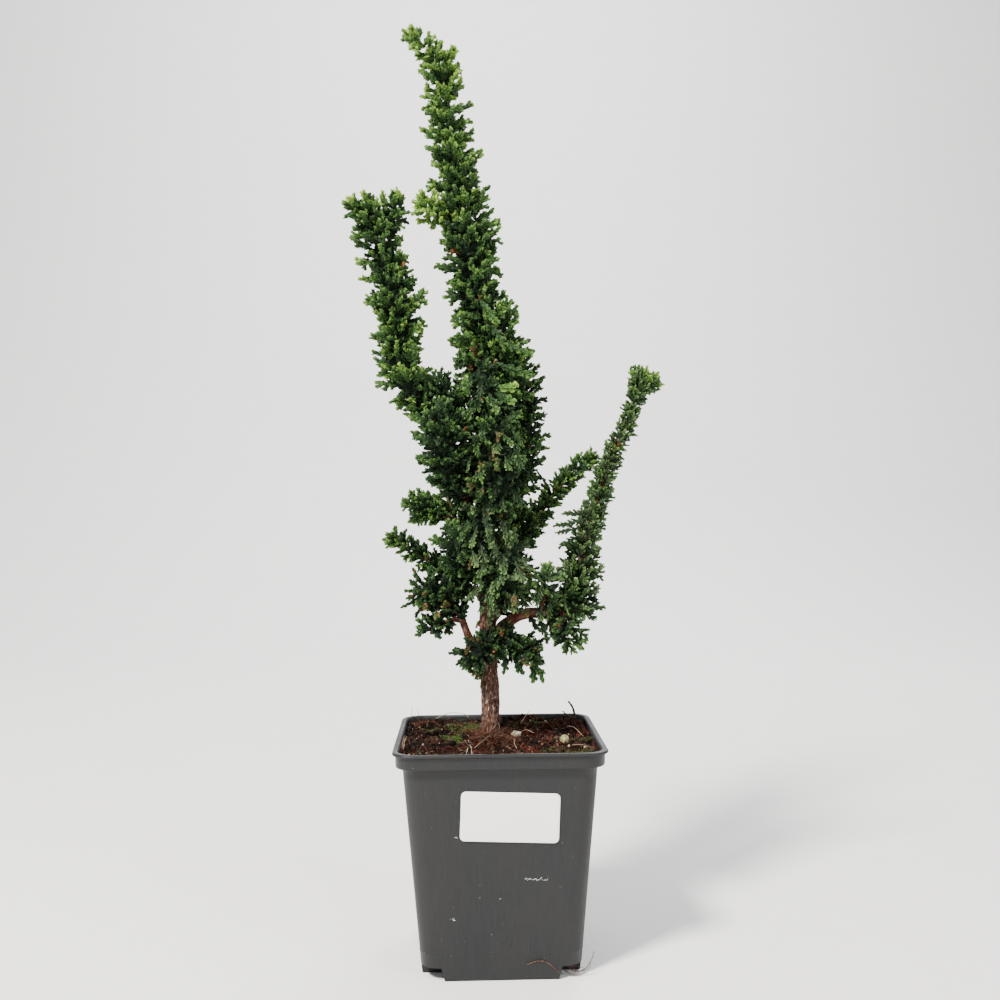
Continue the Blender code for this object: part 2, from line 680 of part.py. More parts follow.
def plan_foliage():
    """The form of every leafy axis, keyed by limb and axis number, with its sprays bent clear."""
    samples = foliage_samples()
    axes = {(name, turn): (number, axis) for number, name in enumerate(LIMBS)
            for turn, axis in enumerate(leafy_axes(name))}
    shares = {key: {} for key in axes}
    for attempt in range(SPRAY_ROUNDS):
        forms = {key: leafy_form(number, axis, samples, shares[key])
                 for key, (number, axis) in axes.items()}
        if not shrink_crossing_sprays(forms, shares):
            break
    return forms


def form_object(name, form, collection):
    verts, faces, owners = form
    bm = bmesh.new()
    made = [bm.verts.new(vert) for vert in verts]
    for face in faces:
        bm.faces.new([made[index] for index in face])
    loose = [vert for vert in bm.verts if not vert.link_faces]
    bmesh.ops.delete(bm, geom=loose, context="VERTS")
    return object_from_bmesh(name, bm, collection)


def build_foliage(collection, holes, shoots):
    """One foliage solid for each limb, with a bore for the wood that it grows on."""
    forms = plan_foliage()
    made = []
    for name in LIMBS:
        foliage = form_object(f"foliage_{name}", forms[name, 0], collection)
        for turn in range(1, len(leafy_axes(name))):
            form_object("Side shoot", forms[name, turn], shoots)
        if len(shoots.objects):
            apply_boolean(foliage, "UNION", shoots)
            remove_all(shoots.objects)
        apply_boolean(foliage, "DIFFERENCE", holes)
        keep_largest_body(foliage)
        made.append(foliage)
    return made


# Scraps on the soil

def on_soil(place, lift):
    x, y = (value * MM for value in place)
    return Vector((x, y, soil_height(x, y) + lift))


def build_ball(grow, collection):
    bm = bmesh.new()
    bmesh.ops.create_icosphere(bm, subdivisions=2, radius=BALL_RADIUS + grow)
    place = on_soil(BALL_PLACE, BALL_RADIUS - BALL_SINK)
    bmesh.ops.translate(bm, vec=place, verts=bm.verts)
    return object_from_bmesh("pale_ball", bm, collection)


def build_chip(grow, collection):
    """A curled scrap of bark: an arched strip that stands on its two long edges."""
    bm = bmesh.new()
    half = CHIP_WIDTH / 2 + grow
    loops = []
    for index in range(CHIP_STEPS + 1):
        angle = math.pi * index / CHIP_STEPS
        loop = []
        for radius in (CHIP_RADIUS + grow, CHIP_RADIUS - CHIP_THICKNESS - grow):
            for side in (-half, half):
                spot = Vector((radius * math.cos(angle), side, radius * math.sin(angle)))
                loop.append(bm.verts.new(spot))
        loops.append([loop[0], loop[1], loop[3], loop[2]])
    for near, far in zip(loops, loops[1:]):
        for index in range(4):
            after = (index + 1) % 4
            bm.faces.new((near[index], near[after], far[after], far[index]))
    bm.faces.new(loops[0])
    bm.faces.new(loops[-1])
    bmesh.ops.rotate(bm, matrix=Matrix.Rotation(CHIP_TURN, 3, "Z"), verts=bm.verts)
    bmesh.ops.translate(bm, vec=on_soil(CHIP_PLACE, -CHIP_SINK - grow), verts=bm.verts)
    return object_from_bmesh("bark_scrap", bm, collection)


def build_moss(number, grow, collection):
    """A low cushion whose surface points are drawn out to uneven leafy tips."""
    x, y, radius, height = MOSS_TUFTS[number]
    rng = random.Random(number)
    bm = bmesh.new()
    bmesh.ops.create_icosphere(bm, subdivisions=2 if grow else 3, radius=1.0)
    place = on_soil((x, y), -MOSS_SINK)
    size = Vector((radius, radius, height)) * MM
    for vert in bm.verts:
        out = vert.co.normalized()
        fuzz = 1.0 if grow else rng.random()
        vert.co = place + out * size + out * (fuzz * MOSS_FUZZ + grow)
    return object_from_bmesh(f"moss_tuft_{number + 1}", bm, collection)


def build_twig(grow, collection, pieces):
    """A dead twig stuck upright in the soil, with one side shoot."""
    base, tip = TWIG_RADII
    stem = [Vector(point) * MM for point in TWIG]
    radii = [base * MM + grow, base * MM + grow, 0.8 * base * MM + grow, tip * MM + grow]
    twig = tube("twig", stem, radii, 1, collection)
    shoot = [Vector(point) * MM for point in TWIG_SHOOT]
    tube("Twig shoot", shoot, [tip * MM + grow] * len(shoot), 1, pieces)
    apply_boolean(twig, "UNION", pieces)
    remove_all(pieces.objects)
    keep_largest_body(twig)
    return twig


def build_loop(grow, collection):
    """A fine pale root that arches out of the soil and back."""
    points = [Vector(point) * MM for point in LOOP]
    points[0].z -= grow
    points[-1].z -= grow
    return tube("root_loop", points, [LOOP_RADIUS * MM + grow] * len(points), 1, collection)


def build_scraps(grow, collection, pieces):
    """All that lies or stands on the soil, each piece wider by grow when it is a seat to cut."""
    made = [build_ball(grow, collection), build_chip(grow, collection)]
    made += [build_moss(number, grow, collection) for number in range(len(MOSS_TUFTS))]
    made += [build_twig(grow, collection, pieces), build_loop(grow, collection)]
    return made


def build():
    clear_scene()
    parts = new_collection("Hinoki cypress bonsai")
    cutters = new_collection("Cutters")
    pieces = new_collection("Pieces")
    dark_plastic = finish_material("Dark grey plastic", (0.055, 0.058, 0.062), 0.42)
    label_paper = finish_material("White label", (0.85, 0.85, 0.84), 0.5)
    bark = finish_material("Red-brown bark", (0.16, 0.065, 0.035), 0.85)
    peat = finish_material("Peat soil", (0.045, 0.020, 0.011), 0.95)
    leaf = finish_material("Scale leaves", (0.022, 0.095, 0.020), 0.6)
    moss = finish_material("Moss", (0.10, 0.16, 0.02), 0.9)
    pale = finish_material("Pale scrap", (0.62, 0.55, 0.42), 0.7)
    build_pot(parts, cutters).data.materials.append(dark_plastic)
    build_label(parts).data.materials.append(label_paper)
    build_wood(parts, pieces).data.materials.append(bark)
    wood_tubes(GAP, cutters)
    for foliage in build_foliage(parts, cutters, pieces):
        foliage.data.materials.append(leaf)
    for scrap in build_scraps(0, parts, pieces):
        scrap.data.materials.append(moss if scrap.name.startswith("moss") else pale)
    build_scraps(GAP, cutters, pieces)
    build_soil(parts, cutters).data.materials.append(peat)
    remove_all(cutters.objects)
    for spare in (cutters, pieces):
        bpy.data.collections.remove(spare)


if __name__ == "__main__":
    build()
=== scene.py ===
# The looks of a hinoki cypress bonsai in its square nursery pot.
# Every limb carries sprays of fine scale-leaf cords round a dark core of painted shade, and the trunk has
# peeling bark.
# The soil is rough peat with fibres, grains and moss, and the pot is thin dusty plastic.
# Lengths in the routes and sizes below are in mm, and the frame is in metres.

import itertools
import math
import random

import bmesh
import bpy
import numpy as np
from mathutils import Matrix, Vector, noise


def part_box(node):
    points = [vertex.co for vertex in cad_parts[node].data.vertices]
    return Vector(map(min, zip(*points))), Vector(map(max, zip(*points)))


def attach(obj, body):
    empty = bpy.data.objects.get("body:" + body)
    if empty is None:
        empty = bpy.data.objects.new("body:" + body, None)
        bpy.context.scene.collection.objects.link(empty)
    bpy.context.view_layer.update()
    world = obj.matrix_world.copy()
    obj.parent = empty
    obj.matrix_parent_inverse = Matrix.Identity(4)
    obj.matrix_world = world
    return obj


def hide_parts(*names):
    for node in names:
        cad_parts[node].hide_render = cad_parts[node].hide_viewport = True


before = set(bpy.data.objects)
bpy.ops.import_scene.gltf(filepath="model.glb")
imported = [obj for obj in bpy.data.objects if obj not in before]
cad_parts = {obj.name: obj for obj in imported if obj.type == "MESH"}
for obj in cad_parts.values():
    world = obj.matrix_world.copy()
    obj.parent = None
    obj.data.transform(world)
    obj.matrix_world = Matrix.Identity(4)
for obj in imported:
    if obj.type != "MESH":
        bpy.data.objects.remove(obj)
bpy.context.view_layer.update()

MM = 0.001
GOLDEN_ANGLE = math.pi * (3 - math.sqrt(5))
BODY = "root"
TURN = 2 * math.pi
NO_LOOK = (0, 0, 0, 0)

# Camera, as fitted to the photograph's frame
FRAME_PIXELS = 1000
FOCAL_PIXELS = 1100.1
SENSOR = 36.0
CAMERA_PLACE = (-15.87, -603.18, 239.99)
CAMERA_YAW = -0.0299
CAMERA_PITCH = 0.0087
CAMERA_ROLL = 0.0083

# Light. Each lamp: name, place and size in metres, power in watts, colour
WORLD_COLOUR = (0.93, 0.96, 1.0)
WORLD_STRENGTH = 0.80
LIGHT_TARGET = (0.0, 0.0, 0.25)
LIGHTS = [
    ("Key", (-0.85, -1.0, 1.55), 0.35, 112, (1.0, 0.97, 0.92)),
    ("Fill", (1.2, -1.1, 0.8), 0.9, 16, (0.95, 0.97, 1.0)),
    ("Back", (0.5, 1.2, 1.4), 0.8, 16, (1.0, 1.0, 1.0)),
]
BACKDROP_LIGHT = ("Backdrop", (0.0, 1.3, 2.0), 2.0, 60, (0.94, 0.97, 1.0))
BACKDROP_TARGET = (0.0, 2.8, 0.9)
FLOOR_FRONT = -4.0
FLOOR_DEPTH = 1.2
FLOOR_CURVE = 1.6
FLOOR_STEPS = 16
FLOOR_TOP = 6.0
FLOOR_HALF_WIDTH = 5.0

# Pot
POT_HEIGHT = 118.0
LIP_WIDTH = 110.0
BAND_WIDTH = 106.6
WALL_TOP_WIDTH = 100.0
BASE_WIDTH = 82.0
BAND_BOTTOM = 109.5
POT_WALL = 1.4
POT_CORNER = 11.0
CORNER_POINTS = 9
SIDE_POINTS = 8
FOOT_HALF_LENGTH = 30.0
FOOT_HEIGHT = 7.0
NOTCH_SLANT = 0.25
DRAIN_RADIUS = 2.5
DRAIN_OFFSET = 33.5
CUT_BOTTOM = -5.0
CUT_FAR = 60.0
MOULD_LINE = 14.0

# Label
LABEL_WIDTH = 50.0
LABEL_HEIGHT = 25.5
LABEL_THICKNESS = 0.5
LABEL_CORNER = 2.5
LABEL_PLACE = (4.5, 85.0)
LABEL_ROLL = math.radians(2.2)

# Wood
TRUNK_SLIM = 0.5
TRUNK_PLACE = (-4.0, 0.0)
TRUNK_FOOT = 118.0
TRUNK_SIDES = 44
LIMB_SIDES = 12
SHOWN_TRUNK = 215.0
YOUNG_BARK = (380.0, 440.0)
ROOT_BEARINGS = (15, 108, 232, 300)
ROOT_RADII = (2.6, 1.6, 0.7)
ROOT_SIDES = 14
STRIP_COUNT = 620
STRIP_HEIGHTS = (112, 176)
STRIP_TAPER = (0.3, 0.8, 1.0, 1.0, 0.9, 0.7, 0.25)
WOOD_TAPER = 1.15

# Soil
SOIL_LEVEL = 112.6
SOIL_INSET = 1.75
SOIL_BUMP = 1.3
SOIL_BUMP_SIZE = 9.0
SOIL_MOUND = 4.2
SOIL_MOUND_RADIUS = 12.5
SOIL_GRID = 156
SOIL_HALF = 51.3
SOIL_CORNER = 10.3
SOIL_EDGE_RISE = 1.8
SOIL_BACK_RISE = 1.3
SOIL_CEILING = 117.4
TRUNK_ROOM = 6.0
CRUMB_COUNT = 1800
GRAIN_COUNT = 380
FIBRE_COUNT = 1500
TUFT_SHOOTS = 190
TUFT_RINGS = 9
TUFT_SIDES = 20
SPRIG_LEAVES = 7

# Moss on the soil: x, y, radius of the patch, number of shoots, how fresh, tallest shoot
MOSS_PATCHES = [
    (-20, 30, 11, 100, 0.12, 3.0), (-12, 18, 6, 80, 0.1, 5.5), (-26, 8, 5, 60, 0.6, 2.4),
    (24, 44, 4, 40, 0.6, 2.0), (30, -33, 8, 75, 0.1, 2.2), (42, -36, 7, 70, 0.1, 2.2),
    (46, -6, 5, 45, 0.1, 2.2), (-38, 30, 5, 30, 0.3, 1.8), (-30, -38, 6, 25, 0.2, 1.6),
    (12, 40, 6, 30, 0.2, 1.8)]

# Heaps of rust-red fibre: x, y, radius, height of the fibres, number, redness
FIBRE_HEAPS = [
    (-2, -10, 8, 11.0, 420, 1.4), (6, -12, 9, 7.5, 300, 1.4), (-9, -6, 6, 8.0, 160, 1.1),
    (4, -3, 6, 8.0, 160, 1.1), (-4, -6, 5, 14.0, 170, 1.4), (-10, -5, 4, 10.0, 80, 1.3),
    (-5, -1, 9, 5.0, 200, 0.9), (37, 38, 8, 4.2, 190, 1.0), (-47, 47, 5, 5.0, 120, 0.2),
    (20, -8, 12, 2.8, 220, 0.8), (-38, -28, 14, 2.4, 260, 0.9), (47, -32, 6, 4.0, 110, 1.0),
    (-20, 44, 12, 2.8, 170, 0.6), (12, -36, 14, 2.6, 200, 0.9), (-14, -34, 12, 2.6, 160, 0.8),
    (10, 22, 12, 2.4, 130, 0.5)]

# Straws and rootlets: paleness, radius, route
STRAWS = [
    (0.65, 0.14, [(-13, -27, 115.5), (-10, -22, 117), (-7, -16, 118.0), (-4.5, -13, 119.5)]),
    (0.60, 0.15, [(-4, -8, 121), (-2, -9, 123), (-1, -9, 125)]),
    (0.65, 0.18, [(14, 34, 116), (17, 40, 119), (20, 45, 121.5)]),
    (0.75, 0.22, [(40, 20, 117), (43, 10, 118), (46, -4, 116.5)]),
    (0.85, 0.22, [(12, 7, 116.5), (16, 8, 117.6), (20, 7, 116.0)]),
    (0.70, 0.17, [(9, 4, 116.5), (9.5, -6, 116.4), (8, -20, 116.8), (9, -30, 115.6)]),
    (0.04, 0.34, [(-47, 30, 116.5), (-42, 32, 118), (-36, 32, 118), (-32, 30, 116)]),
    (0.25, 0.28, [(-50, -34, 114), (-50.5, -30, 118), (-49.5, -26, 122), (-48, -22, 120), (-47, -20, 116)]),
    (0.40, 0.20, [(-49, -38, 115), (-49.6, -33, 119), (-48.4, -27, 122)]),
    (0.60, 0.18, [(-50.6, -20, 113), (-50.4, -14, 117), (-50.2, -5, 116.5), (-50.6, 2, 113)]),
    (0.60, 0.16, [(-50.4, -28, 113), (-50.0, -18, 116), (-50.5, -9, 113.5)]),
    (0.05, 0.18, [(-49, 48, 115), (-49.5, 48.5, 120), (-49.2, 48.2, 124.5)]),
    (0.05, 0.16, [(-46, 48, 115), (-45.6, 48, 119), (-46, 48, 122.5)]),
    (0.60, 0.22, [(-35, 46, 117.5), (-27, 49, 120), (-19, 49, 119.4), (-16, 48, 117.5)]),
    (0.60, 0.18, [(-6, 34, 117), (-7, 38, 120), (-5, 42, 123)]),
    (0.60, 0.20, [(38, -30, 117), (42, -34, 118), (47, -33, 116.5)])]

# Pale scraps on the soil: x, y, size
PALE_BITS = [
    (37, -21, 1.2), (45, -27, 1.1), (4, -31, 1.3), (34, -42, 1.2), (23, 25, 1.3), (29, 45, 1.6),
    (-12, 30, 0.7), (-44, -40, 0.8), (-32, -34, 0.7), (16, -36, 1.0), (-24, 20, 0.6)]

# A limb is (wood radii at its root and tip, share of its route that is woody, route). A route point
# is x, y, z and the reach of the foliage there, with reach 0 on the bare wood.
LIMBS = {
    "leader": ((5.2, 0.9), 0.93, [
        (-4, 0, 118, 0), (-4, 0, 138, 0), (-5, 0, 163, 0), (-5, 1, 190, 0), (-6, 2, 218, 0),
        (-5, 1, 250, 12), (-4, 0, 268, 14), (-2, 0, 290, 16), (1, 0, 311, 19), (0, 0, 326, 22),
        (-5, 0, 341, 18), (-10, 0, 355, 16), (-13, 0, 372, 17), (-13, 0, 388, 19), (-16, 0, 405, 17),
        (-20, 0, 418, 17), (-22, 0, 432, 16), (-25, 0, 446, 15), (-25, 0, 463, 14),
        (-27, 0, 476, 12), (-31, 0, 487, 9), (-37, 0, 495, 7), (-45, 0, 500, 6.5)]),
    "left_spire": ((2.6, 0.9), 0.88, [
        (-5, 1, 238, 0), (-15, -2, 256, 0), (-25, -3, 273, 0), (-34, -3, 290, 13),
        (-45, -4, 306, 16), (-53, -4, 322, 16), (-52, -3, 337, 16), (-53, -3, 350, 17),
        (-57, -2, 362, 15), (-59, -2, 374, 14), (-64, -2, 388, 15), (-66, -2, 399, 13),
        (-67, -2, 404, 11)]),
    "left_dome": ((2.2, 1.0), 0.80, [
        (-5, 1, 226, 0), (-13, -9, 240, 9), (-19, -15, 250, 12), (-26, -20, 261, 16),
        (-28, -23, 274, 18), (-28, -22, 287, 16)]),
    "right_body": ((2.2, 1.0), 0.80, [
        (-5, 1, 228, 0), (4, 6, 238, 9), (11, 9, 251, 14), (14, 10, 266, 15), (15, 10, 281, 15),
        (15, 10, 292, 13)]),
    "front_upper": ((2.2, 1.0), 0.80, [
        (-5, 1, 220, 0), (-4, -9, 231, 10), (-2, -18, 243, 17), (-1, -23, 257, 19),
        (-1, -24, 271, 19), (-2, -21, 285, 17)]),
    "front_lower": ((2.1, 1.0), 0.80, [
        (-5, 1, 182, 0), (-3, -9, 189, 10), (1, -16, 198, 16), (4, -20, 208, 18),
        (5, -21, 218, 15)]),
    "back_upper": ((2.2, 1.0), 0.80, [
        (-5, 1, 236, 0), (-6, 11, 247, 10), (-7, 19, 259, 16), (-7, 23, 272, 19),
        (-6, 22, 286, 17)]),
    "back_left": ((2.1, 1.0), 0.80, [
        (-5, 1, 214, 0), (-15, 8, 224, 10), (-23, 13, 236, 11), (-27, 15, 249, 9),
        (-29, 15, 262, 11)]),
    "back_lower": ((2.1, 1.0), 0.80, [
        (-5, 1, 194, 0), (-6, 11, 202, 10), (-7, 19, 212, 16), (-7, 23, 223, 18),
        (-7, 23, 233, 15)]),
    "back_right": ((2.0, 1.0), 0.80, [
        (-5, 1, 176, 0), (1, 9, 182, 9), (6, 15, 190, 13), (10, 19, 200, 14), (12, 20, 211, 13)]),
    "mid_left": ((1.9, 1.0), 0.80, [
        (-5, 1, 200, 0), (-12, -6, 205, 10), (-18, -12, 213, 15), (-21, -15, 224, 15)]),
    "left_knob": ((1.8, 0.9), 0.80, [
        (-5, 1, 222, 0), (-16, -1, 230, 0), (-27, -5, 236, 7), (-36, -7, 240, 10),
        (-43, -8, 242, 12)]),
    "left_point": ((1.9, 0.8), 0.75, [
        (-5, 1, 190, 0), (-15, 4, 197, 8), (-25, 6, 204, 9), (-36, 7, 211, 8), (-47, 7, 219, 7),
        (-57, 7, 225, 6)]),
    "low_left": ((2.6, 1.0), 0.82, [
        (-4, 0, 162, 0), (-14, -3, 168, 0), (-19, -5, 180, 8), (-25, -6, 189, 12),
        (-32, -7, 195, 14), (-39, -8, 196, 14)]),
    "low_left_tip": ((1.5, 0.8), 0.80, [
        (-18, -5, 180, 0), (-25, -11, 181, 7), (-32, -13, 178, 10), (-38, -13, 176, 9)]),
    "skirt_left": ((1.8, 1.0), 0.80, [
        (-4, 0, 157, 0), (-6, -7, 163, 7), (-9, -12, 164, 12), (-14, -14, 160, 11)]),
    "skirt_right": ((1.9, 0.8), 0.80, [
        (-4, 0, 160, 0), (3, -5, 165, 7), (9, -7, 165, 10), (15, -8, 163, 10), (18, -8, 161, 8)]),
    "skirt_back": ((1.8, 1.0), 0.80, [
        (-4, 0, 156, 0), (-4, 8, 160, 7), (-3, 14, 162, 11), (-3, 20, 161, 11)]),
    "right_long": ((3.2, 0.8), 0.94, [
        (-4, 0, 168, 0), (4, -4, 177, 0), (14, -6, 183, 0), (24, -6, 184, 11), (34, -6, 187, 14),
        (43, -4, 192, 16), (45, -3, 206, 12), (48, -2, 219, 10), (52, 0, 233, 9), (56, 0, 246, 8),
        (61, 0, 261, 6.5), (66, 0, 274, 6), (72, 0, 286, 5.5), (76, 0, 297, 5.5), (79, 0, 305, 7)]),
    "right_second": ((2.0, 0.8), 0.80, [
        (-5, 1, 206, 0), (4, 7, 212, 0), (12, 9, 221, 9), (19, 10, 230, 9), (25, 10, 239, 9),
        (32, 10, 248, 8), (39, 10, 256, 7), (46, 9, 263, 7), (54, 9, 268, 6)]),
    "right_droop": ((1.4, 0.8), 0.80, [
        (34, -6, 187, 0), (35, -13, 183, 8), (37, -18, 176, 12), (37, -20, 169, 9)]),
    "right_mid": ((1.5, 0.9), 0.80, [
        (24, -6, 184, 0), (24, -14, 191, 9), (25, -18, 198, 12), (26, -19, 205, 9)]),
}
SIDE_SHOOTS = {
    "leader": [[(-19, 0, 400, 8), (-30, -1, 402, 9), (-38, -1, 406, 9)],
               [(-29, 0, 480, 6), (-24, 0, 489, 6.5)]],
    "left_spire": [[(-66, -2, 399, 8), (-76, -3, 405, 8)],
                   [(-61, -2, 372, 7), (-53, -4, 376, 7)],
                   [(-60, -2, 390, 8), (-55, -3, 399, 8), (-54, -3, 409, 7)]],
    "right_long": [[(78, 0, 298, 6), (79, 0, 314, 6)], [(78, 0, 306, 6), (87, 0, 310, 6)]],
}

# Shoots that the solids leave out: they fill the body, and cover the trunk above the lowest limbs
FILL_SHOOTS = {
    "leader": [[(3, -3, 296, 13), (8, -4, 310, 15), (8, -3, 320, 15)],
               [(-6, -2, 310, 13), (-10, -2, 322, 15), (-12, -2, 333, 13)]],
    "left_spire": [[(-14, 4, 256, 8), (-24, 4, 272, 9), (-32, 3, 286, 9)]],
    "low_left": [[(-11, -5, 197, 6), (-17, -6, 196, 7), (-23, -7, 197, 8)]],
    "left_dome": [[(-22, -12, 284, 11), (-26, -9, 297, 12), (-32, -7, 308, 11)],
                  [(-15, -8, 280, 10), (-17, -7, 294, 11), (-15, -5, 306, 9)]],
    "front_lower": [[(-6, -8, 205, 9), (-8, -14, 216, 13), (-8, -17, 228, 15), (-7, -19, 240, 15)],
                    [(4, -10, 194, 8), (11, -11, 192, 9), (19, -12, 192, 9)]],
    "front_upper": [[(-3, -16, 284, 12), (-5, -15, 300, 13), (-8, -12, 316, 12)]],
    "mid_left": [[(-8, 1, 200, 8), (-11, 2, 210, 11), (-14, 2, 222, 13), (-16, 1, 234, 13)]],
    "right_body": [[(2, 2, 202, 8), (7, 4, 212, 11), (11, 6, 224, 12), (13, 8, 234, 12)],
                   [(16, 7, 290, 11), (18, 5, 303, 11), (17, 3, 315, 10)]],
    "skirt_left": [[(-10, -9, 166, 10), (-5, -11, 168, 10), (1, -11, 169, 10), (7, -9, 170, 9)]],
    "skirt_right": [[(7, -9, 162, 8), (13, -10, 163, 9), (18, -9, 164, 9)]],
}

# How each limb's foliage looks. tone: at its root and tip, from 0 dark to 1 yellow-green. area: the
# surface for one spray there, in mm2. girth: how thick the cords are. lean: how far sprays point along
# the limb. grey: bloom. dead: share of brown fingers. hang: share of front sprays that hang as fronds.
# core: share of the limb, from its root, that has a dark inside of painted shade. floor: the lowest z of
# its sprays.
# finger: how long the fingers of a spray are. thin: their width. gap: how far apart they are.
PLAIN_LOOK = dict(tone=(0.36, 0.47), area=(62, 62), girth=1.12, lean=0.5, grey=0.03, dead=0.01,
                  hang=0.0, core=1.0, floor=0, finger=0.76, thin=0.92, gap=1.0)
LOOKS = {
    "leader": dict(tone=(0.37, 0.63), area=(62, 88), girth=1.3, lean=0.45, core=0.58, finger=1.0,
                   thin=1.0),
    "left_spire": dict(tone=(0.48, 0.39), area=(62, 72), girth=1.28, dead=0.003, core=0.85, finger=0.9),
    "left_dome": dict(tone=(0.29, 0.37), area=(54, 54), girth=1.12),
    "front_upper": dict(tone=(0.3, 0.4), area=(52, 52), lean=0.1, grey=0.09, dead=0.018, hang=0.6),
    "front_lower": dict(tone=(0.31, 0.41), area=(46, 46), lean=0.2, grey=0.3, dead=0.015, hang=0.75,
                        floor=185),
    "right_body": dict(tone=(0.31, 0.4), area=(56, 56), hang=0.15),
    "back_upper": dict(area=(92, 92), girth=1.2),
    "back_left": dict(area=(92, 92), girth=1.2),
    "back_lower": dict(area=(92, 92)),
    "back_right": dict(area=(92, 92)),
    "mid_left": dict(tone=(0.28, 0.37), area=(52, 52), dead=0.02, hang=0.3),
    "left_knob": dict(tone=(0.38, 0.44), area=(27, 27), girth=1.0, dead=0.0, finger=0.62),
    "left_point": dict(tone=(0.31, 0.42), area=(48, 50), girth=0.92, lean=0.8, finger=0.66),
    # The lowest limbs' tones are darker, partly as painted shade under the foliage above
    "low_left": dict(tone=(0.22, 0.31), area=(36, 36), girth=0.92, dead=0.03, thin=1.04, finger=0.56),
    "low_left_tip": dict(tone=(0.22, 0.31), area=(32, 34), girth=0.92, dead=0.03, thin=1.04,
                         finger=0.56, floor=171),
    "skirt_left": dict(tone=(0.2, 0.3), area=(30, 34), girth=0.92, dead=0.02, thin=1.04, finger=0.56,
                       floor=147),
    "skirt_right": dict(tone=(0.2, 0.3), area=(34, 38), girth=0.92, dead=0.03, thin=1.02, finger=0.6,
                        floor=155),
    "skirt_back": dict(tone=(0.24, 0.34), area=(52, 52)),
    "right_long": dict(tone=(0.37, 0.4), area=(42, 46), girth=0.95, lean=0.85, grey=0.26, thin=0.82,
                       gap=0.84, dead=0.004),
    "right_second": dict(tone=(0.4, 0.46), area=(44, 48), girth=1.0, lean=0.6, dead=0.004),
    "right_droop": dict(tone=(0.35, 0.43), area=(44, 44), girth=0.95, grey=0.12, floor=167, finger=0.7),
    "right_mid": dict(tone=(0.37, 0.47), area=(50, 50), girth=1.0, grey=0.16, hang=0.4, floor=181),
}
TONE_RISE = 3.0
SHOOT_TONE = 0.05

# Dead brown sprays that show: x, y, z of the spray's root, and its length
DEAD_SPRAYS = {
    "front_upper": [(-6, -38, 262, 4), (-3, -38, 272, 4), (-12, -34, 252, 3.5), (-1, -39, 280, 3.5),
                    (2, -38, 266, 3)],
    "front_lower": [(8, -30, 196, 5), (-14, -22, 214, 4)],
    "low_left": [(-33, -17, 187, 5), (-42, -15, 188, 5), (-25, -12, 189, 5), (-11.5, -4, 176, 5)],
    "skirt_left": [(-8.6, -3, 147, 3.5), (-15, -20, 168, 5)],
    "skirt_right": [(4, -13, 175, 5), (12, -15, 158, 5)],
    "right_long": [(20, -14, 186, 6)],
}

# The pale scrap: its grid of points, its rise over its place in mm, its size against the solid's,
# and where its crumpling is read from the noise along x, y and z
SCRAP_GRID = (18, 22)
SCRAP_LIFT = 1.7
SCRAP_STRETCH = (1.05, 1.2, 1.6)
CRUMPLE_SHIFTS = ((0, 0, 0), (31.4, 7.1, 2.6), (5.2, 47.3, 19.8))

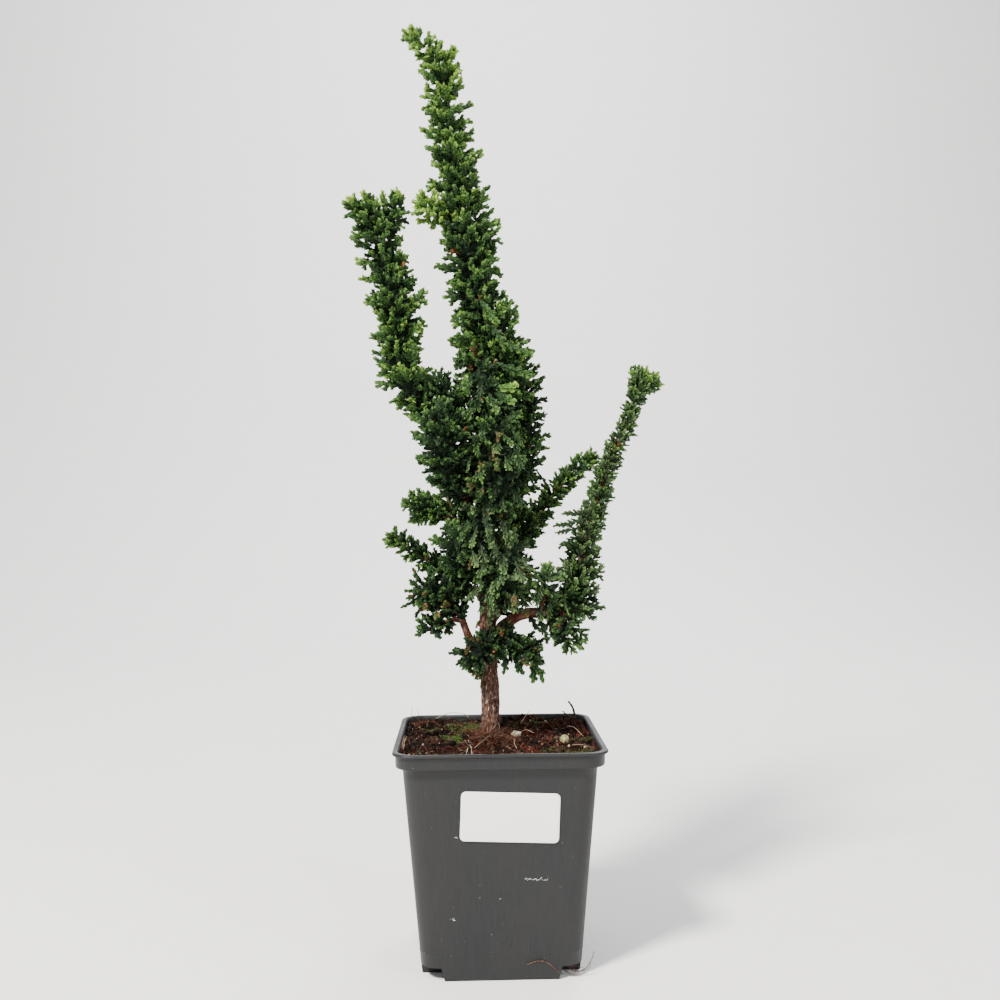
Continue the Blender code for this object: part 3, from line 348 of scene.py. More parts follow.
# Sprays of their own that stand out, full like feathers: root, direction, length, tone, and how fine
# they are. Those above the fresh tone have no bloom.
BLADE_LOOK = dict(girth=1.35, finger=0.60, dead=0.0)
FRESH_TONE = 0.55
SHOWN_SPRAYS = {
    "right_long": [
        ((48, -6, 237), (-1, -0.3, 0.15), 14, 0.34, 0.72),
        ((47, -7, 234), (-1, -0.3, -0.25), 17, 0.36, 0.72),
        ((45, -7, 230), (-1, -0.3, -0.3), 15, 0.33, 0.72),
        ((44, -7, 225), (-1, -0.2, -0.45), 13, 0.34, 0.72),
        ((22, -12, 182), (0.5, -0.2, -1), 15, 0.26, 0.8),
        ((17, -11, 183), (0.5, -0.2, -1), 11, 0.24, 0.8),
        ((27, -13, 181), (0.35, -0.2, -1), 13, 0.27, 0.8),
        ((31, -13, 179), (0.1, -0.2, -1), 10, 0.27, 0.8),
        ((78, -4, 312), (-0.7, -0.3, 0.5), 6, 0.58, 0.8),
        ((81, -4, 312), (0.4, -0.3, 0.7), 6, 0.62, 0.8),
        ((85, -4, 311), (0.7, -0.3, 0.4), 6, 0.64, 0.8),
        ((87, -4, 309), (0.7, -0.3, -0.4), 5, 0.58, 0.8),
        ((82, -5, 309), (0.3, -0.5, 0.3), 6, 0.57, 0.8)],
    "left_spire": [
        ((-73, -7, 405), (-0.8, -0.4, 0.5), 8, 0.7, 0.9),
        ((-68, -9, 406), (-0.3, -0.4, 0.8), 7, 0.7, 0.9),
        ((-61, -8, 406), (0.3, -0.4, 0.8), 7, 0.68, 0.9),
        ((-54, -7, 407), (0.5, -0.4, 0.8), 7, 0.72, 0.9),
        ((-65, -10, 402), (0.5, -0.4, 0.7), 7, 0.64, 0.9)],
    "right_droop": [
        ((41, -22, 173), (0.5, -0.3, -1), 8, 0.4, 0.85)],
    "skirt_right": [
        ((17, -12, 161), (0.85, -0.2, -1), 16, 0.42, 1.0),
        ((18, -12, 158), (0.25, -0.2, -1), 11, 0.36, 0.9),
        ((4, -13, 162), (0.05, -0.2, -1), 10, 0.26, 0.9),
        ((9, -13, 161), (0.25, -0.2, -1), 10, 0.24, 0.9)],
    "front_lower": [
        ((-4, -13, 191), (0.05, -0.2, -1), 13, 0.36, 0.7),
        ((-6, -15, 197), (0.22, -0.25, -1), 14, 0.47, 0.8),
        ((-3, -14, 192), (0.5, -0.4, -1), 10, 0.42, 0.7)],
    "front_upper": [
        ((1, -34, 304), (0.9, -0.3, -0.15), 11, 0.64, 1.0),
        ((0, -33, 300), (1, -0.3, -0.4), 11, 0.5, 1.0),
        ((-14, -30, 300), (-0.4, -0.3, 0.9), 9, 0.5, 1.0),
        ((-4, -36, 300), (0.3, -0.5, -1), 12, 0.44, 0.8)],
    "leader": [
        ((-8, -17, 352), (0.5, -0.15, -1), 17, 0.47, 0.95),
        ((-2, -20, 338), (0.75, -0.2, -1), 16, 0.45, 0.9),
        ((2, -18, 330), (1, -0.2, -0.55), 18, 0.43, 0.9),
        ((0, -18, 318), (1, -0.2, -0.4), 20, 0.43, 0.9),
        ((-37, -7, 405), (-0.6, -0.4, 0.6), 7, 0.64, 0.9),
        ((-32, -7, 407), (0.1, -0.4, 1), 6, 0.62, 0.9),
        ((-20, -3, 372), (-1, -0.1, 0.15), 13, 0.42, 1.0),
        ((-10, -3, 394), (1, -0.1, 0.15), 14, 0.46, 1.0)],
}

# Small pieces on the soil and the pot
TWIG = ((45.5, 42, 108), (46, 41.5, 115), (46, 41, 119.5), (44.8, 40.5, 124), (42.4, 40.5, 127.5))
TWIG_SHOOT = ((45.8, 41.3, 117), (41.5, 41, 119.5), (39, 40.5, 121.8))
LOOP = ((-18, -41, 108), (-17.6, -41, 114), (-16.2, -40.5, 119.2), (-15.0, -40.5, 119.4),
        (-14.3, -41, 114), (-13.6, -41, 108))
THREADS = [
    (0.28, [(13, -42.0, 8.4), (18, -42.3, 10.2), (23, -42.1, 9.2), (28, -41.8, 5.0), (31, -40, 2.2)]),
    (0.30, [(33, -34, 5.5), (37, -38, 3.0), (42, -39, 4.0), (46, -38, 8.5), (47.5, -36, 12.0)]),
    (0.24, [(34, -33, 5.0), (39, -36, 2.2), (44, -37, 3.2), (46, -36, 6.0)]),
    (0.22, [(31, -34, 3.0), (36, -38, 1.0), (40, -38, 0.8), (43, -37, 1.6)]),
    (0.20, [(33, -31, 5.5), (36, -35, 4.4), (40, -37, 4.6), (43, -36, 3.0)])]

# Chalk on the pot's front: x, z, number of strokes, width of the mark
CHALK_MARKS = [(17.4, 52.5, 11, 11.0), (-24.7, 32.3, 3, 0.9), (-0.8, 42.3, 1, 0.6), (-23.3, 74.8, 2, 0.7)]

# Cords and sprays
CORD_SIDES = 4
CORD_STEP = 1.09
CORD_RADIUS = 0.84
SCALE_RISE = 1.36
SCALE_SINK = 0.86
SCALE_FORWARD = 0.9
CORD_BEND = 0.16
CORD_JITTER = 0.14
AXIS_STEP = 0.5
CORD_VARIANTS = 3
# Painted light of a cord's points: lighter at the raised scale tips, darker as painted shade at the sunken
# points between them
SCALE_TIP_LIGHT = 0.58
SCALE_HOLLOW_SHADE = 0.04
BURIED_SHARE = 0.58
CORD_RINGS = (3, 4, 5, 7, 9, 12, 16, 20)
SPRAY_REACH = (0.78, 1.00)
SPRAY_LUMPS = 0.20
LUMP_SIZE = 10.0
SPRAY_START = 0.30
OPEN_START = 0.06
FINGER_GAP = 1.52
FINGER_END = 0.84
FINGER_SIZE = (2.7, 4.1)
FINGER_ANGLE = (0.50, 0.95)
LONG_FINGER = 4.9
SLIM_REACH = 13.0
# The core: a dark tube of painted shade inside dense foliage
CORE_SHARE = 0.34
CORE_SIDES = 15
CORE_ROUGHNESS = 0.38
CORE_LEAST_REACH = 11.0
STEM_RADIUS = 0.55


# Meshes

def link(name, data):
    """A new object in the scene."""
    made = bpy.data.objects.new(name, data)
    bpy.context.scene.collection.objects.link(made)
    return made


class Pile:
    """Many small closed forms stacked into one mesh, with four values at each vertex."""

    def __init__(self):
        self.verts = []
        self.faces = []
        self.values = []
        self.count = 0

    def add(self, verts, faces, values):
        """Add one form. values is one row for all its vertices, or a row for each."""
        verts = np.asarray(verts, dtype=float)
        values = np.broadcast_to(np.asarray(values, dtype=float), (len(verts), 4))
        self.verts.append(verts)
        self.values.append(values)
        self.faces.append(np.asarray(faces, dtype=np.int64) + self.count)
        self.count += len(verts)

    def make(self, name, material, smooth=True):
        """The pile as a mesh object, in metres. All its faces are triangles."""
        verts = np.concatenate(self.verts) * MM
        faces = np.concatenate(self.faces)
        mesh = bpy.data.meshes.new(name)
        mesh.vertices.add(len(verts))
        mesh.vertices.foreach_set("co", verts.ravel())
        mesh.loops.add(faces.size)
        mesh.loops.foreach_set("vertex_index", faces.ravel())
        mesh.polygons.add(len(faces))
        mesh.polygons.foreach_set("loop_start", np.arange(0, faces.size, 3))
        mesh.polygons.foreach_set("use_smooth", np.full(len(faces), smooth))
        mesh.update(calc_edges=True)
        layer = mesh.attributes.new("look", "FLOAT_COLOR", "POINT")
        layer.data.foreach_set("color", np.concatenate(self.values).ravel())
        mesh.materials.append(material)
        return link(name, mesh)


def tube_faces(rings, sides):
    """Triangles of a closed tube of rings, whose two end points follow the rings' vertices."""
    faces = []
    for level in range(rings - 1):
        for place in range(sides):
            a = level * sides + place
            b = level * sides + (place + 1) % sides
            faces.append((a, b, b + sides))
            faces.append((a, b + sides, a + sides))
    start = rings * sides
    last = (rings - 1) * sides
    for place in range(sides):
        after = (place + 1) % sides
        faces.append((after, place, start))
        faces.append((last + place, last + after, start + 1))
    return np.array(faces)


def frames_along(points):
    """Tangent, side and normal at each point of a line, turned as little as possible."""
    points = np.asarray(points, dtype=float)
    tangents = np.gradient(points, axis=0)
    tangents /= np.linalg.norm(tangents, axis=1)[:, None]
    side = np.cross(tangents[0], (0.31, 0.17, 0.93))
    sides = []
    for tangent in tangents:
        side = side - tangent * side.dot(tangent)
        side = side / np.linalg.norm(side)
        sides.append(side)
    sides = np.array(sides)
    return tangents, sides, np.cross(tangents, sides)


def strand(points, radii, sides, flat=1.0, up=None):
    """A closed thin tube, flattened across its up direction, as vertices and faces."""
    points = np.asarray(points, dtype=float)
    tangents, side, normal = frames_along(points)
    if up is not None:
        normal = np.array(up) - tangents * (tangents @ np.array(up))[:, None]
        normal /= np.linalg.norm(normal, axis=1)[:, None]
        side = np.cross(normal, tangents)
    turns = 2 * np.pi * np.arange(sides) / sides
    radii = np.broadcast_to(radii, (len(points),))
    ring = (np.cos(turns)[None, :, None] * side[:, None] * radii[:, None, None]
            + np.sin(turns)[None, :, None] * normal[:, None] * radii[:, None, None] * flat)
    verts = (points[:, None] + ring).reshape(-1, 3)
    ends = [points[0] - tangents[0] * radii[0] * 0.5, points[-1] + tangents[-1] * radii[-1] * 0.5]
    return np.vstack([verts, ends]), tube_faces(len(points), sides)


def smooth_route(rows, step):
    """Rows about every step along the curve through rows of x, y, z and one more value."""
    rows = np.array(rows, dtype=float)
    ends = np.vstack([2 * rows[0] - rows[1], rows, 2 * rows[-1] - rows[-2]])
    fine = []
    for start in range(len(rows) - 1):
        a, b, c, d = ends[start:start + 4]
        for t in np.linspace(0, 1, 8, endpoint=False):
            fine.append(0.5 * (2 * b + (c - a) * t + (2 * a - 5 * b + 4 * c - d) * t ** 2
                               + (3 * b - a - 3 * c + d) * t ** 3))
    fine = np.array(fine + [rows[-1]])
    steps = np.linalg.norm(np.diff(fine[:, :3], axis=0), axis=1)
    along = np.concatenate([[0], np.cumsum(steps)])
    count = max(2, round(along[-1] / step) + 1)
    stations = np.linspace(0, along[-1], count)
    return np.array([np.interp(stations, along, fine[:, column]) for column in range(fine.shape[1])]).T


def curve(route, step):
    """Points about every step along the curve through a route's points."""
    return smooth_route([(*point, 0) for point in route], step)[:, :3]


def grid_rim(rows, columns):
    """The numbers of a grid's outer points, in order round it."""
    last = (rows - 1) * columns
    return (list(range(columns - 1)) + [row * columns + columns - 1 for row in range(rows - 1)]
            + [last + column for column in range(columns - 1, 0, -1)]
            + [row * columns for row in range(rows - 1, 0, -1)])


def clamp(value, low=0.0, high=1.0):
    return max(low, min(high, value))


def unit(vector):
    return vector / np.linalg.norm(vector)


def around(bearing):
    """The level unit direction at a bearing."""
    return np.array((math.cos(bearing), math.sin(bearing), 0))


def on_ball(bearing, rise):
    """The point of a unit ball at a bearing and an angle above the level."""
    return np.array((math.cos(bearing) * math.cos(rise), math.sin(bearing) * math.cos(rise),
                     math.sin(rise)))


def spoke(bearing, side, normal):
    """The direction at a bearing in the plane of a side and a normal."""
    return math.cos(bearing) * side + math.sin(bearing) * normal


# Materials

class Nodes:
    """A material's node tree, with short ways to add and join nodes."""

    def __init__(self, name):
        self.material = bpy.data.materials.new(name)
        self.material.use_nodes = True
        self.tree = self.material.node_tree
        self.shader = self.tree.nodes["Principled BSDF"]

    def add(self, kind, inputs=(), **settings):
        node = self.tree.nodes.new(kind)
        for key, value in settings.items():
            setattr(node, key, value)
        for key, value in dict(inputs).items():
            self.put(node.inputs[key], value)
        return node

    def put(self, socket, value):
        """Join an output to a socket, or set the socket's value."""
        if isinstance(value, bpy.types.NodeSocket):
            self.tree.links.new(value, socket)
        elif isinstance(value, tuple) and len(value) == 3 and socket.type == "RGBA":
            socket.default_value = (*value, 1.0)
        else:
            socket.default_value = value

    def place(self, stretch):
        """Object coordinates in mm, squeezed by stretch."""
        where = self.add("ShaderNodeTexCoord").outputs["Object"]
        scale = tuple(value / MM for value in stretch)
        return self.add("ShaderNodeMapping", {"Vector": where, "Scale": scale}).outputs["Vector"]

    def noise(self, size, detail, stretch=(1, 1, 1), rough=0.55):
        where = self.place(stretch)
        made = self.add("ShaderNodeTexNoise", {"Vector": where, "Scale": 1 / size, "Detail": detail,
                                               "Roughness": rough})
        return made.outputs["Fac"]

    def ramp(self, value, stops):
        """A colour for a value, from (place, colour) stops."""
        made = self.add("ShaderNodeValToRGB", {"Fac": value})
        band = made.color_ramp
        while len(band.elements) < len(stops):
            band.elements.new(0.5)
        for element, (place, colour) in zip(band.elements, stops):
            element.position = place
            element.color = (*colour, 1.0)
        return made.outputs["Color"]

    def step(self, value, low, high):
        """A value stretched so that low gives 0 and high gives 1."""
        made = self.add("ShaderNodeMapRange", {"Value": value, "From Min": low, "From Max": high})
        return made.outputs["Result"]

    def math(self, operation, first, second):
        made = self.add("ShaderNodeMath", operation=operation)
        self.put(made.inputs[0], first)
        self.put(made.inputs[1], second)
        return made.outputs[0]

    def mix(self, share, first, second, blend="MIX"):
        made = self.add("ShaderNodeMix", data_type="RGBA", blend_type=blend)
        self.put(made.inputs["Factor"], share)
        self.put(made.inputs[6], first)
        self.put(made.inputs[7], second)
        return made.outputs[2]

    def look(self):
        """The four values of the mesh's look layer."""
        layer = self.add("ShaderNodeAttribute", attribute_name="look")
        parts = self.add("ShaderNodeSeparateColor", {"Color": layer.outputs["Color"]})
        return (*[parts.outputs[index] for index in range(3)], layer.outputs["Alpha"])

    def bump(self, height, distance, strength):
        made = self.add("ShaderNodeBump", {"Height": height, "Distance": distance * MM,
                                           "Strength": strength})
        self.put(self.shader.inputs["Normal"], made.outputs["Normal"])

    def finish(self, **inputs):
        names = {"colour": "Base Color", "roughness": "Roughness", "specular": "Specular IOR Level"}
        for key, value in inputs.items():
            self.put(self.shader.inputs[names[key]], value)
        return self.material


def leaf_material():
    """Scale leaves: look holds the tone, a point's painted light and shade, how dead and how grey the cord
    is.
    """
    nodes = Nodes("Scale leaves")
    tone, scale_light, dead, grey = nodes.look()
    fleck = nodes.math("MULTIPLY", nodes.math("SUBTRACT", nodes.noise(0.9, 2.0), 0.5), 0.40)
    # Painted light and shade: raised scale tips lift the tone, the hollows between the scales lower it
    lift = nodes.math("MULTIPLY", nodes.math("SUBTRACT", scale_light, SCALE_TIP_LIGHT), 0.46)
    tone = nodes.math("ADD", nodes.math("ADD", tone, lift), fleck)
    green = nodes.ramp(tone, [
        (0.0, (0.0040, 0.0078, 0.0038)), (0.25, (0.0098, 0.0255, 0.0080)),
        (0.45, (0.0290, 0.0700, 0.0150)), (0.62, (0.0780, 0.1520, 0.0240)),
        (0.80, (0.1800, 0.2850, 0.0360)), (1.0, (0.3600, 0.4300, 0.0550))])
    bloom = nodes.ramp(tone, [(0.1, (0.014, 0.022, 0.012)), (0.55, (0.125, 0.165, 0.080))])
    green = nodes.mix(grey, green, bloom)
    brown = nodes.ramp(nodes.noise(2.0, 3.0), [
        (0.35, (0.030, 0.012, 0.005)), (0.55, (0.105, 0.042, 0.012)), (0.75, (0.210, 0.110, 0.030))])
    colour = nodes.mix(dead, green, brown)
    rough = nodes.ramp(tone, [(0.05, (0.95, 0.95, 0.95)), (0.30, (0.50, 0.50, 0.50))])
    nodes.bump(nodes.noise(0.5, 2.0), 0.10, 0.5)
    return nodes.finish(colour=colour, roughness=rough, specular=0.14)


def bark_material():
    """Bark: look holds how pale, how young and green, and how red it is."""
    nodes = Nodes("Fibrous bark")
    pale, young, red, _ = nodes.look()
    grain = nodes.noise(0.7, 5.0, (1, 1, 0.22), 0.65)
    patch = nodes.noise(3.5, 3.0, (1, 1, 0.4))
    brown = nodes.ramp(grain, [
        (0.32, (0.004, 0.002, 0.0015)), (0.46, (0.034, 0.014, 0.009)),
        (0.60, (0.115, 0.055, 0.036)), (0.78, (0.280, 0.175, 0.125))])
    rust = nodes.ramp(grain, [
        (0.30, (0.004, 0.0015, 0.001)), (0.50, (0.052, 0.014, 0.0075)), (0.75, (0.160, 0.055, 0.030))])
    share = nodes.math("MULTIPLY", red, nodes.step(patch, 0.34, 0.60))
    share = nodes.math("MAXIMUM", share, nodes.step(red, 0.90, 1.0))
    colour = nodes.mix(share, brown, rust)
    tan = nodes.ramp(grain, [(0.3, (0.200, 0.125, 0.085)), (0.7, (0.700, 0.550, 0.430))])
    colour = nodes.mix(pale, colour, tan)
    green = nodes.ramp(grain, [(0.3, (0.045, 0.075, 0.012)), (0.7, (0.130, 0.180, 0.030))])
    colour = nodes.mix(young, colour, green)
    nodes.bump(grain, 0.5, 0.8)
    return nodes.finish(colour=colour, roughness=0.85, specular=0.15)


def soil_material():
    """Peat: look holds redness, paleness, moss and how dark a point is: own darkness for crumbs, fibres and
    moss shoots, painted shade in the soil top's hollows and on the moss cushions' bases.
    """
    nodes = Nodes("Peat")
    red, pale, moss, dark = nodes.look()
    grain = nodes.noise(1.1, 5.0)
    patch = nodes.noise(7.0, 3.0)
    peat = nodes.ramp(grain, [
        (0.36, (0.0006, 0.0004, 0.0004)), (0.52, (0.0030, 0.0016, 0.0012)),
        (0.66, (0.0160, 0.0066, 0.0043)), (0.82, (0.0640, 0.0310, 0.0200))])
    rust = nodes.ramp(grain, [
        (0.32, (0.0050, 0.0014, 0.0010)), (0.52, (0.0620, 0.0138, 0.0066)),
        (0.78, (0.2050, 0.0620, 0.0330))])
    share = nodes.math("MULTIPLY", red, nodes.step(patch, 0.42, 0.64))
    share = nodes.math("MAXIMUM", share, nodes.step(red, 0.55, 0.85))
    colour = nodes.mix(share, peat, rust)
    straw = nodes.ramp(grain, [(0.3, (0.190, 0.130, 0.075)), (0.7, (0.520, 0.430, 0.310))])
    colour = nodes.mix(pale, colour, straw)
    olive = nodes.ramp(grain, [(0.3, (0.014, 0.018, 0.005)), (0.7, (0.120, 0.125, 0.042))])
    fresh = nodes.ramp(grain, [(0.3, (0.024, 0.052, 0.010)), (0.7, (0.115, 0.195, 0.042))])
    colour = nodes.mix(moss, colour, nodes.mix(red, olive, fresh))
    # The fourth value darkens: painted shade on the soil's top and the moss cushions' bases, own darkness
    # for crumbs, fibres and shoots
    light = nodes.math("SUBTRACT", 1.0, nodes.math("MULTIPLY", dark, 0.75))
    colour = nodes.mix(1.0, colour, nodes.ramp(light, [(0, (0, 0, 0)), (1, (1, 1, 1))]), "MULTIPLY")
    nodes.bump(grain, 0.5, 0.9)
    return nodes.finish(colour=colour, roughness=0.95, specular=0.08)


def pot_material():
    """Thin dark plastic: fine upright scratches, cloudy dust and pale specks."""
    nodes = Nodes("Dark grey plastic")
    streak = nodes.noise(0.9, 5.0, (1, 1, 0.035), 0.65)
    cloud = nodes.noise(26.0, 4.0, (1, 1, 0.55))
    base = nodes.ramp(streak, [(0.28, (0.0098, 0.0102, 0.0112)), (0.50, (0.0122, 0.0128, 0.0140)),
                               (0.75, (0.0158, 0.0164, 0.0176))])
    dusty = nodes.mix(nodes.math("MULTIPLY", nodes.step(cloud, 0.35, 0.75), 0.28), base,
                      (0.026, 0.0235, 0.0205))
    scuff = nodes.step(nodes.noise(2.2, 2.0, (1, 1, 0.3)), 0.70, 0.76)
    dusty = nodes.mix(nodes.math("MULTIPLY", scuff, 0.55), dusty, (0.004, 0.004, 0.005))
    speck = nodes.step(nodes.noise(0.8, 1.0), 0.790, 0.815)
    colour = nodes.mix(nodes.math("MULTIPLY", speck, 0.6), dusty, (0.300, 0.290, 0.270))
    rough = nodes.ramp(nodes.math("ADD", nodes.math("MULTIPLY", cloud, 0.7),
                                  nodes.math("MULTIPLY", streak, 0.3)),
                       [(0.35, (0.40, 0.40, 0.40)), (0.65, (0.56, 0.56, 0.56))])
    nodes.bump(streak, 0.03, 0.30)
    return nodes.finish(colour=colour, roughness=rough, specular=0.24)


def label_material():
    nodes = Nodes("White sticker")
    cloud = nodes.noise(14.0, 3.0)
    colour = nodes.ramp(cloud, [(0.3, (0.850, 0.835, 0.820)), (0.7, (0.900, 0.890, 0.880))])
    nodes.bump(nodes.noise(0.4, 2.0), 0.02, 0.3)
    return nodes.finish(colour=colour, roughness=0.55, specular=0.4)


def scrap_material(name, dark, light, size, rough):
    """A dry scrap: two colours mixed by a fine grain."""
    nodes = Nodes(name)
    grain = nodes.noise(size, 4.0)
    nodes.bump(grain, 0.2, 0.7)
    return nodes.finish(colour=nodes.ramp(grain, [(0.35, dark), (0.65, light)]), roughness=rough,
                        specular=0.3)


# Foliage

def cord_form(rings, variant):
    """A cord of overlapping scale leaves along +Z, bent to +X, and each point's painted light: raised scale
    tips lighter, the sunken points between them darker as painted shade.
    """
    rng = random.Random(f"cord {rings} {variant}")
    length = rings * CORD_STEP
    verts = []
    scale_light = []
    for level in range(rings):
        share = level / (rings - 1)
        swell = 0.78 + 0.27 * math.sin(math.pi * min(1.0, 0.15 + 0.72 * share))
        for place in range(CORD_SIDES):
            out = (place + level) % 2 == 0
            radius = CORD_RADIUS * swell * (SCALE_RISE if out else SCALE_SINK)
            radius *= rng.uniform(0.82, 1.18)
            turn = TURN * (place + rng.uniform(-CORD_JITTER, CORD_JITTER)) / CORD_SIDES
            z = level + (SCALE_FORWARD if out else 0.0) + rng.uniform(-CORD_JITTER, CORD_JITTER)
            verts.append((radius * math.cos(turn), radius * math.sin(turn), z * CORD_STEP))
            # Painted light: raised scale tips lighter, sunken points darker as painted shade, and lighter
            # towards the cord's tip
            scale_light.append((SCALE_TIP_LIGHT if out else SCALE_HOLLOW_SHADE) + (1 - SCALE_TIP_LIGHT) * share)
    verts.append((0, 0, -0.4 * CORD_STEP))
    verts.append((0, 0, length + 0.25 * CORD_STEP))
    scale_light += [0.1, 1.0]
    verts = np.array(verts)
    verts[:, 0] += CORD_BEND * length * (verts[:, 2] / length) ** 2
    faces = []
    for level in range(rings - 1):
        for place in range(CORD_SIDES):
            a = level * CORD_SIDES + place
            b = level * CORD_SIDES + (place + 1) % CORD_SIDES
            c, d = b + CORD_SIDES, a + CORD_SIDES
            if (place + level) % 2 == 0:
                faces += [(a, b, d), (b, c, d)]
            else:
                faces += [(a, b, c), (a, c, d)]
    ends = tube_faces(rings, CORD_SIDES)[-2 * CORD_SIDES:]
    return verts, np.vstack([faces, ends]), np.array(scale_light)


class Cords:
    """A list of cords to place: start, direction, bend side, length, width, tone, dead, grey."""

    def __init__(self):
        self.rows = []

    def add(self, start, direction, bend, length, width, tone, dead, grey):
        self.rows.append((*start, *direction, *bend, length, width, tone, dead, grey))

    def fill(self, pile):
        """Place every cord's form in the pile, by its number of rings and its variant."""
        rows = np.array(self.rows)
        wanted = rows[:, 9] / CORD_STEP
        kinds = np.abs(np.array(CORD_RINGS)[None] - wanted[:, None]).argmin(axis=1)
        for kind, rings in enumerate(CORD_RINGS):
            picks = np.flatnonzero(kinds == kind)
            for variant in range(CORD_VARIANTS):
                if len(picks[variant::CORD_VARIANTS]):
                    self.place(pile, rows[picks[variant::CORD_VARIANTS]], rings, *FORMS[rings, variant])

    def place(self, pile, rows, rings, verts, faces, scale_light):
        axis = rows[:, 3:6] / np.linalg.norm(rows[:, 3:6], axis=1)[:, None]
        bend = rows[:, 6:9] - axis * np.sum(rows[:, 6:9] * axis, axis=1)[:, None]
        bend /= np.linalg.norm(bend, axis=1)[:, None]
        third = np.cross(axis, bend)
        stretch = (rows[:, 9] / (rings * CORD_STEP))[:, None, None]
        width = rows[:, 10][:, None, None]
        placed = (rows[:, None, 0:3] + verts[None, :, 0:1] * width * bend[:, None]
                  + verts[None, :, 1:2] * width * third[:, None]
                  + verts[None, :, 2:3] * stretch * axis[:, None])
        count = len(rows)
        values = np.empty((count, len(verts), 4))
        values[:, :, (0, 2, 3)] = rows[:, None, 11:14]
        # Each point's painted scale light and shade, from the cord's form
        values[:, :, 1] = scale_light
        spread = faces[None] + (np.arange(count) * len(verts))[:, None, None]
        pile.add(placed.reshape(-1, 3), spread.reshape(-1, 3), values.reshape(-1, 4))


FORMS = {(rings, variant): cord_form(rings, variant) for rings in CORD_RINGS
         for variant in range(CORD_VARIANTS)}


def turned(vector, axis, angle):
    """A vector turned about a unit axis."""
    return (vector * math.cos(angle) + np.cross(axis, vector) * math.sin(angle)
            + axis * axis.dot(vector) * (1 - math.cos(angle)))


def add_spray(cords, start, direction, across, length, tone, look, rng, fine=1.0):
    """A flat spray: a stem cord with shorter fingers on both sides, alternately, in one plane."""
    direction = unit(direction)
    across = unit(across - direction * across.dot(direction))
    normal = np.cross(direction, across)
    bend = unit(across * rng.uniform(-1, 1) + normal * rng.uniform(-0.6, 0.6))
    girth = look["girth"] * fine
    width = rng.uniform(0.90, 1.08) * girth * look["thin"]
    grey = look["grey"] * rng.uniform(0.2, 1.6)
    cords.add(start, direction, bend, length, width, tone - 0.03, 0.0, grey)
    place = length * rng.uniform(0.08, 0.18)
    sign = rng.choice((-1, 1))
    while place < FINGER_END * length:
        share = place / length
        out = turned(direction, normal, rng.uniform(*FINGER_ANGLE) * sign)
        out = out + normal * rng.uniform(-0.35, 0.35)
        swell = 0.75 + 0.55 * math.sin(math.pi * (0.2 + 0.7 * share))
        size = fine * look["finger"] * rng.uniform(*FINGER_SIZE) * swell
        size += (length - place) * 0.16 * fine
        root = start + direction * place + bend * CORD_BEND * length * share ** 2 * width
        dead = rng.uniform(0.5, 1.0) if rng.random() < look["dead"] * (1.6 - share) else 0.0
        # Lighter towards the spray's tip, like new growth, and darker at its root, partly as painted shade
        # deep in the foliage
        lighter = tone + 0.30 * (share - 0.6) + rng.uniform(-0.08, 0.08)
        curl = direction + normal * rng.uniform(-0.5, 0.5)
        cords.add(root, out, curl, size, width * rng.uniform(0.88, 1.10), lighter, dead, grey)
        if size > LONG_FINGER:
            add_buds(cords, root, unit(out), direction, size, width, lighter, dead, grey, rng)
        gap = girth * FINGER_GAP * (0.3 + 0.7 * look["finger"]) * look["gap"]
        place += gap * rng.uniform(0.75, 1.25) * (1 + 0.03 * length)
        sign = -sign


def add_buds(cords, root, out, direction, size, width, tone, dead, grey, rng):
    """Two short buds on a long finger."""
    for share in (0.40, 0.68):
        side = unit(np.cross(out, direction)) * rng.uniform(-0.5, 0.5)
        lean = direction * (0.9 if share < 0.5 else -0.7)
        cords.add(root + out * size * share, out + lean + side, direction, rng.uniform(1.7, 2.6),
                  width * 0.95, tone + rng.uniform(0, 0.06), dead, grey)


def shoots(name):
    """Every leafy axis of a limb: its route past the bare wood, its shoots and its filling."""
    route = LIMBS[name][2]
    first = next(index for index, point in enumerate(route) if point[3])
    return [route[first:], *SIDE_SHOOTS.get(name, []), *FILL_SHOOTS.get(name, [])]


def axis_samples():
    """Places along every leafy axis: x, y, z, reach and the limb's number."""
    found = []
    for number, name in enumerate(LIMBS):
        for axis in shoots(name):
            rows = smooth_route(axis, 3.0)
            found.append(np.column_stack([rows, np.full(len(rows), number)]))
    return np.vstack(found)


def buried(place, number, samples):
    """Whether a place lies deep in the foliage of another limb."""
    others = samples[samples[:, 4] != number]
    shares = np.linalg.norm(others[:, :3] - place, axis=1) / others[:, 3]
    return shares.min() < BURIED_SHARE


def add_shade_cord(cords, spot, radial, tangent, reach, tone, rng):
    """A short cord painted dark as shade, that covers the core behind a spray."""
    out = unit(radial + tangent * rng.uniform(-0.9, 0.9)
               + np.cross(radial, tangent) * rng.uniform(-0.9, 0.9))
    # Painted shade: darker than the sprays round it
    cords.add(spot + radial * reach * 0.2, out, tangent, reach * rng.uniform(0.34, 0.58),
              rng.uniform(1.1, 1.4), tone - rng.uniform(0.12, 0.22), 0.0, 0.0)


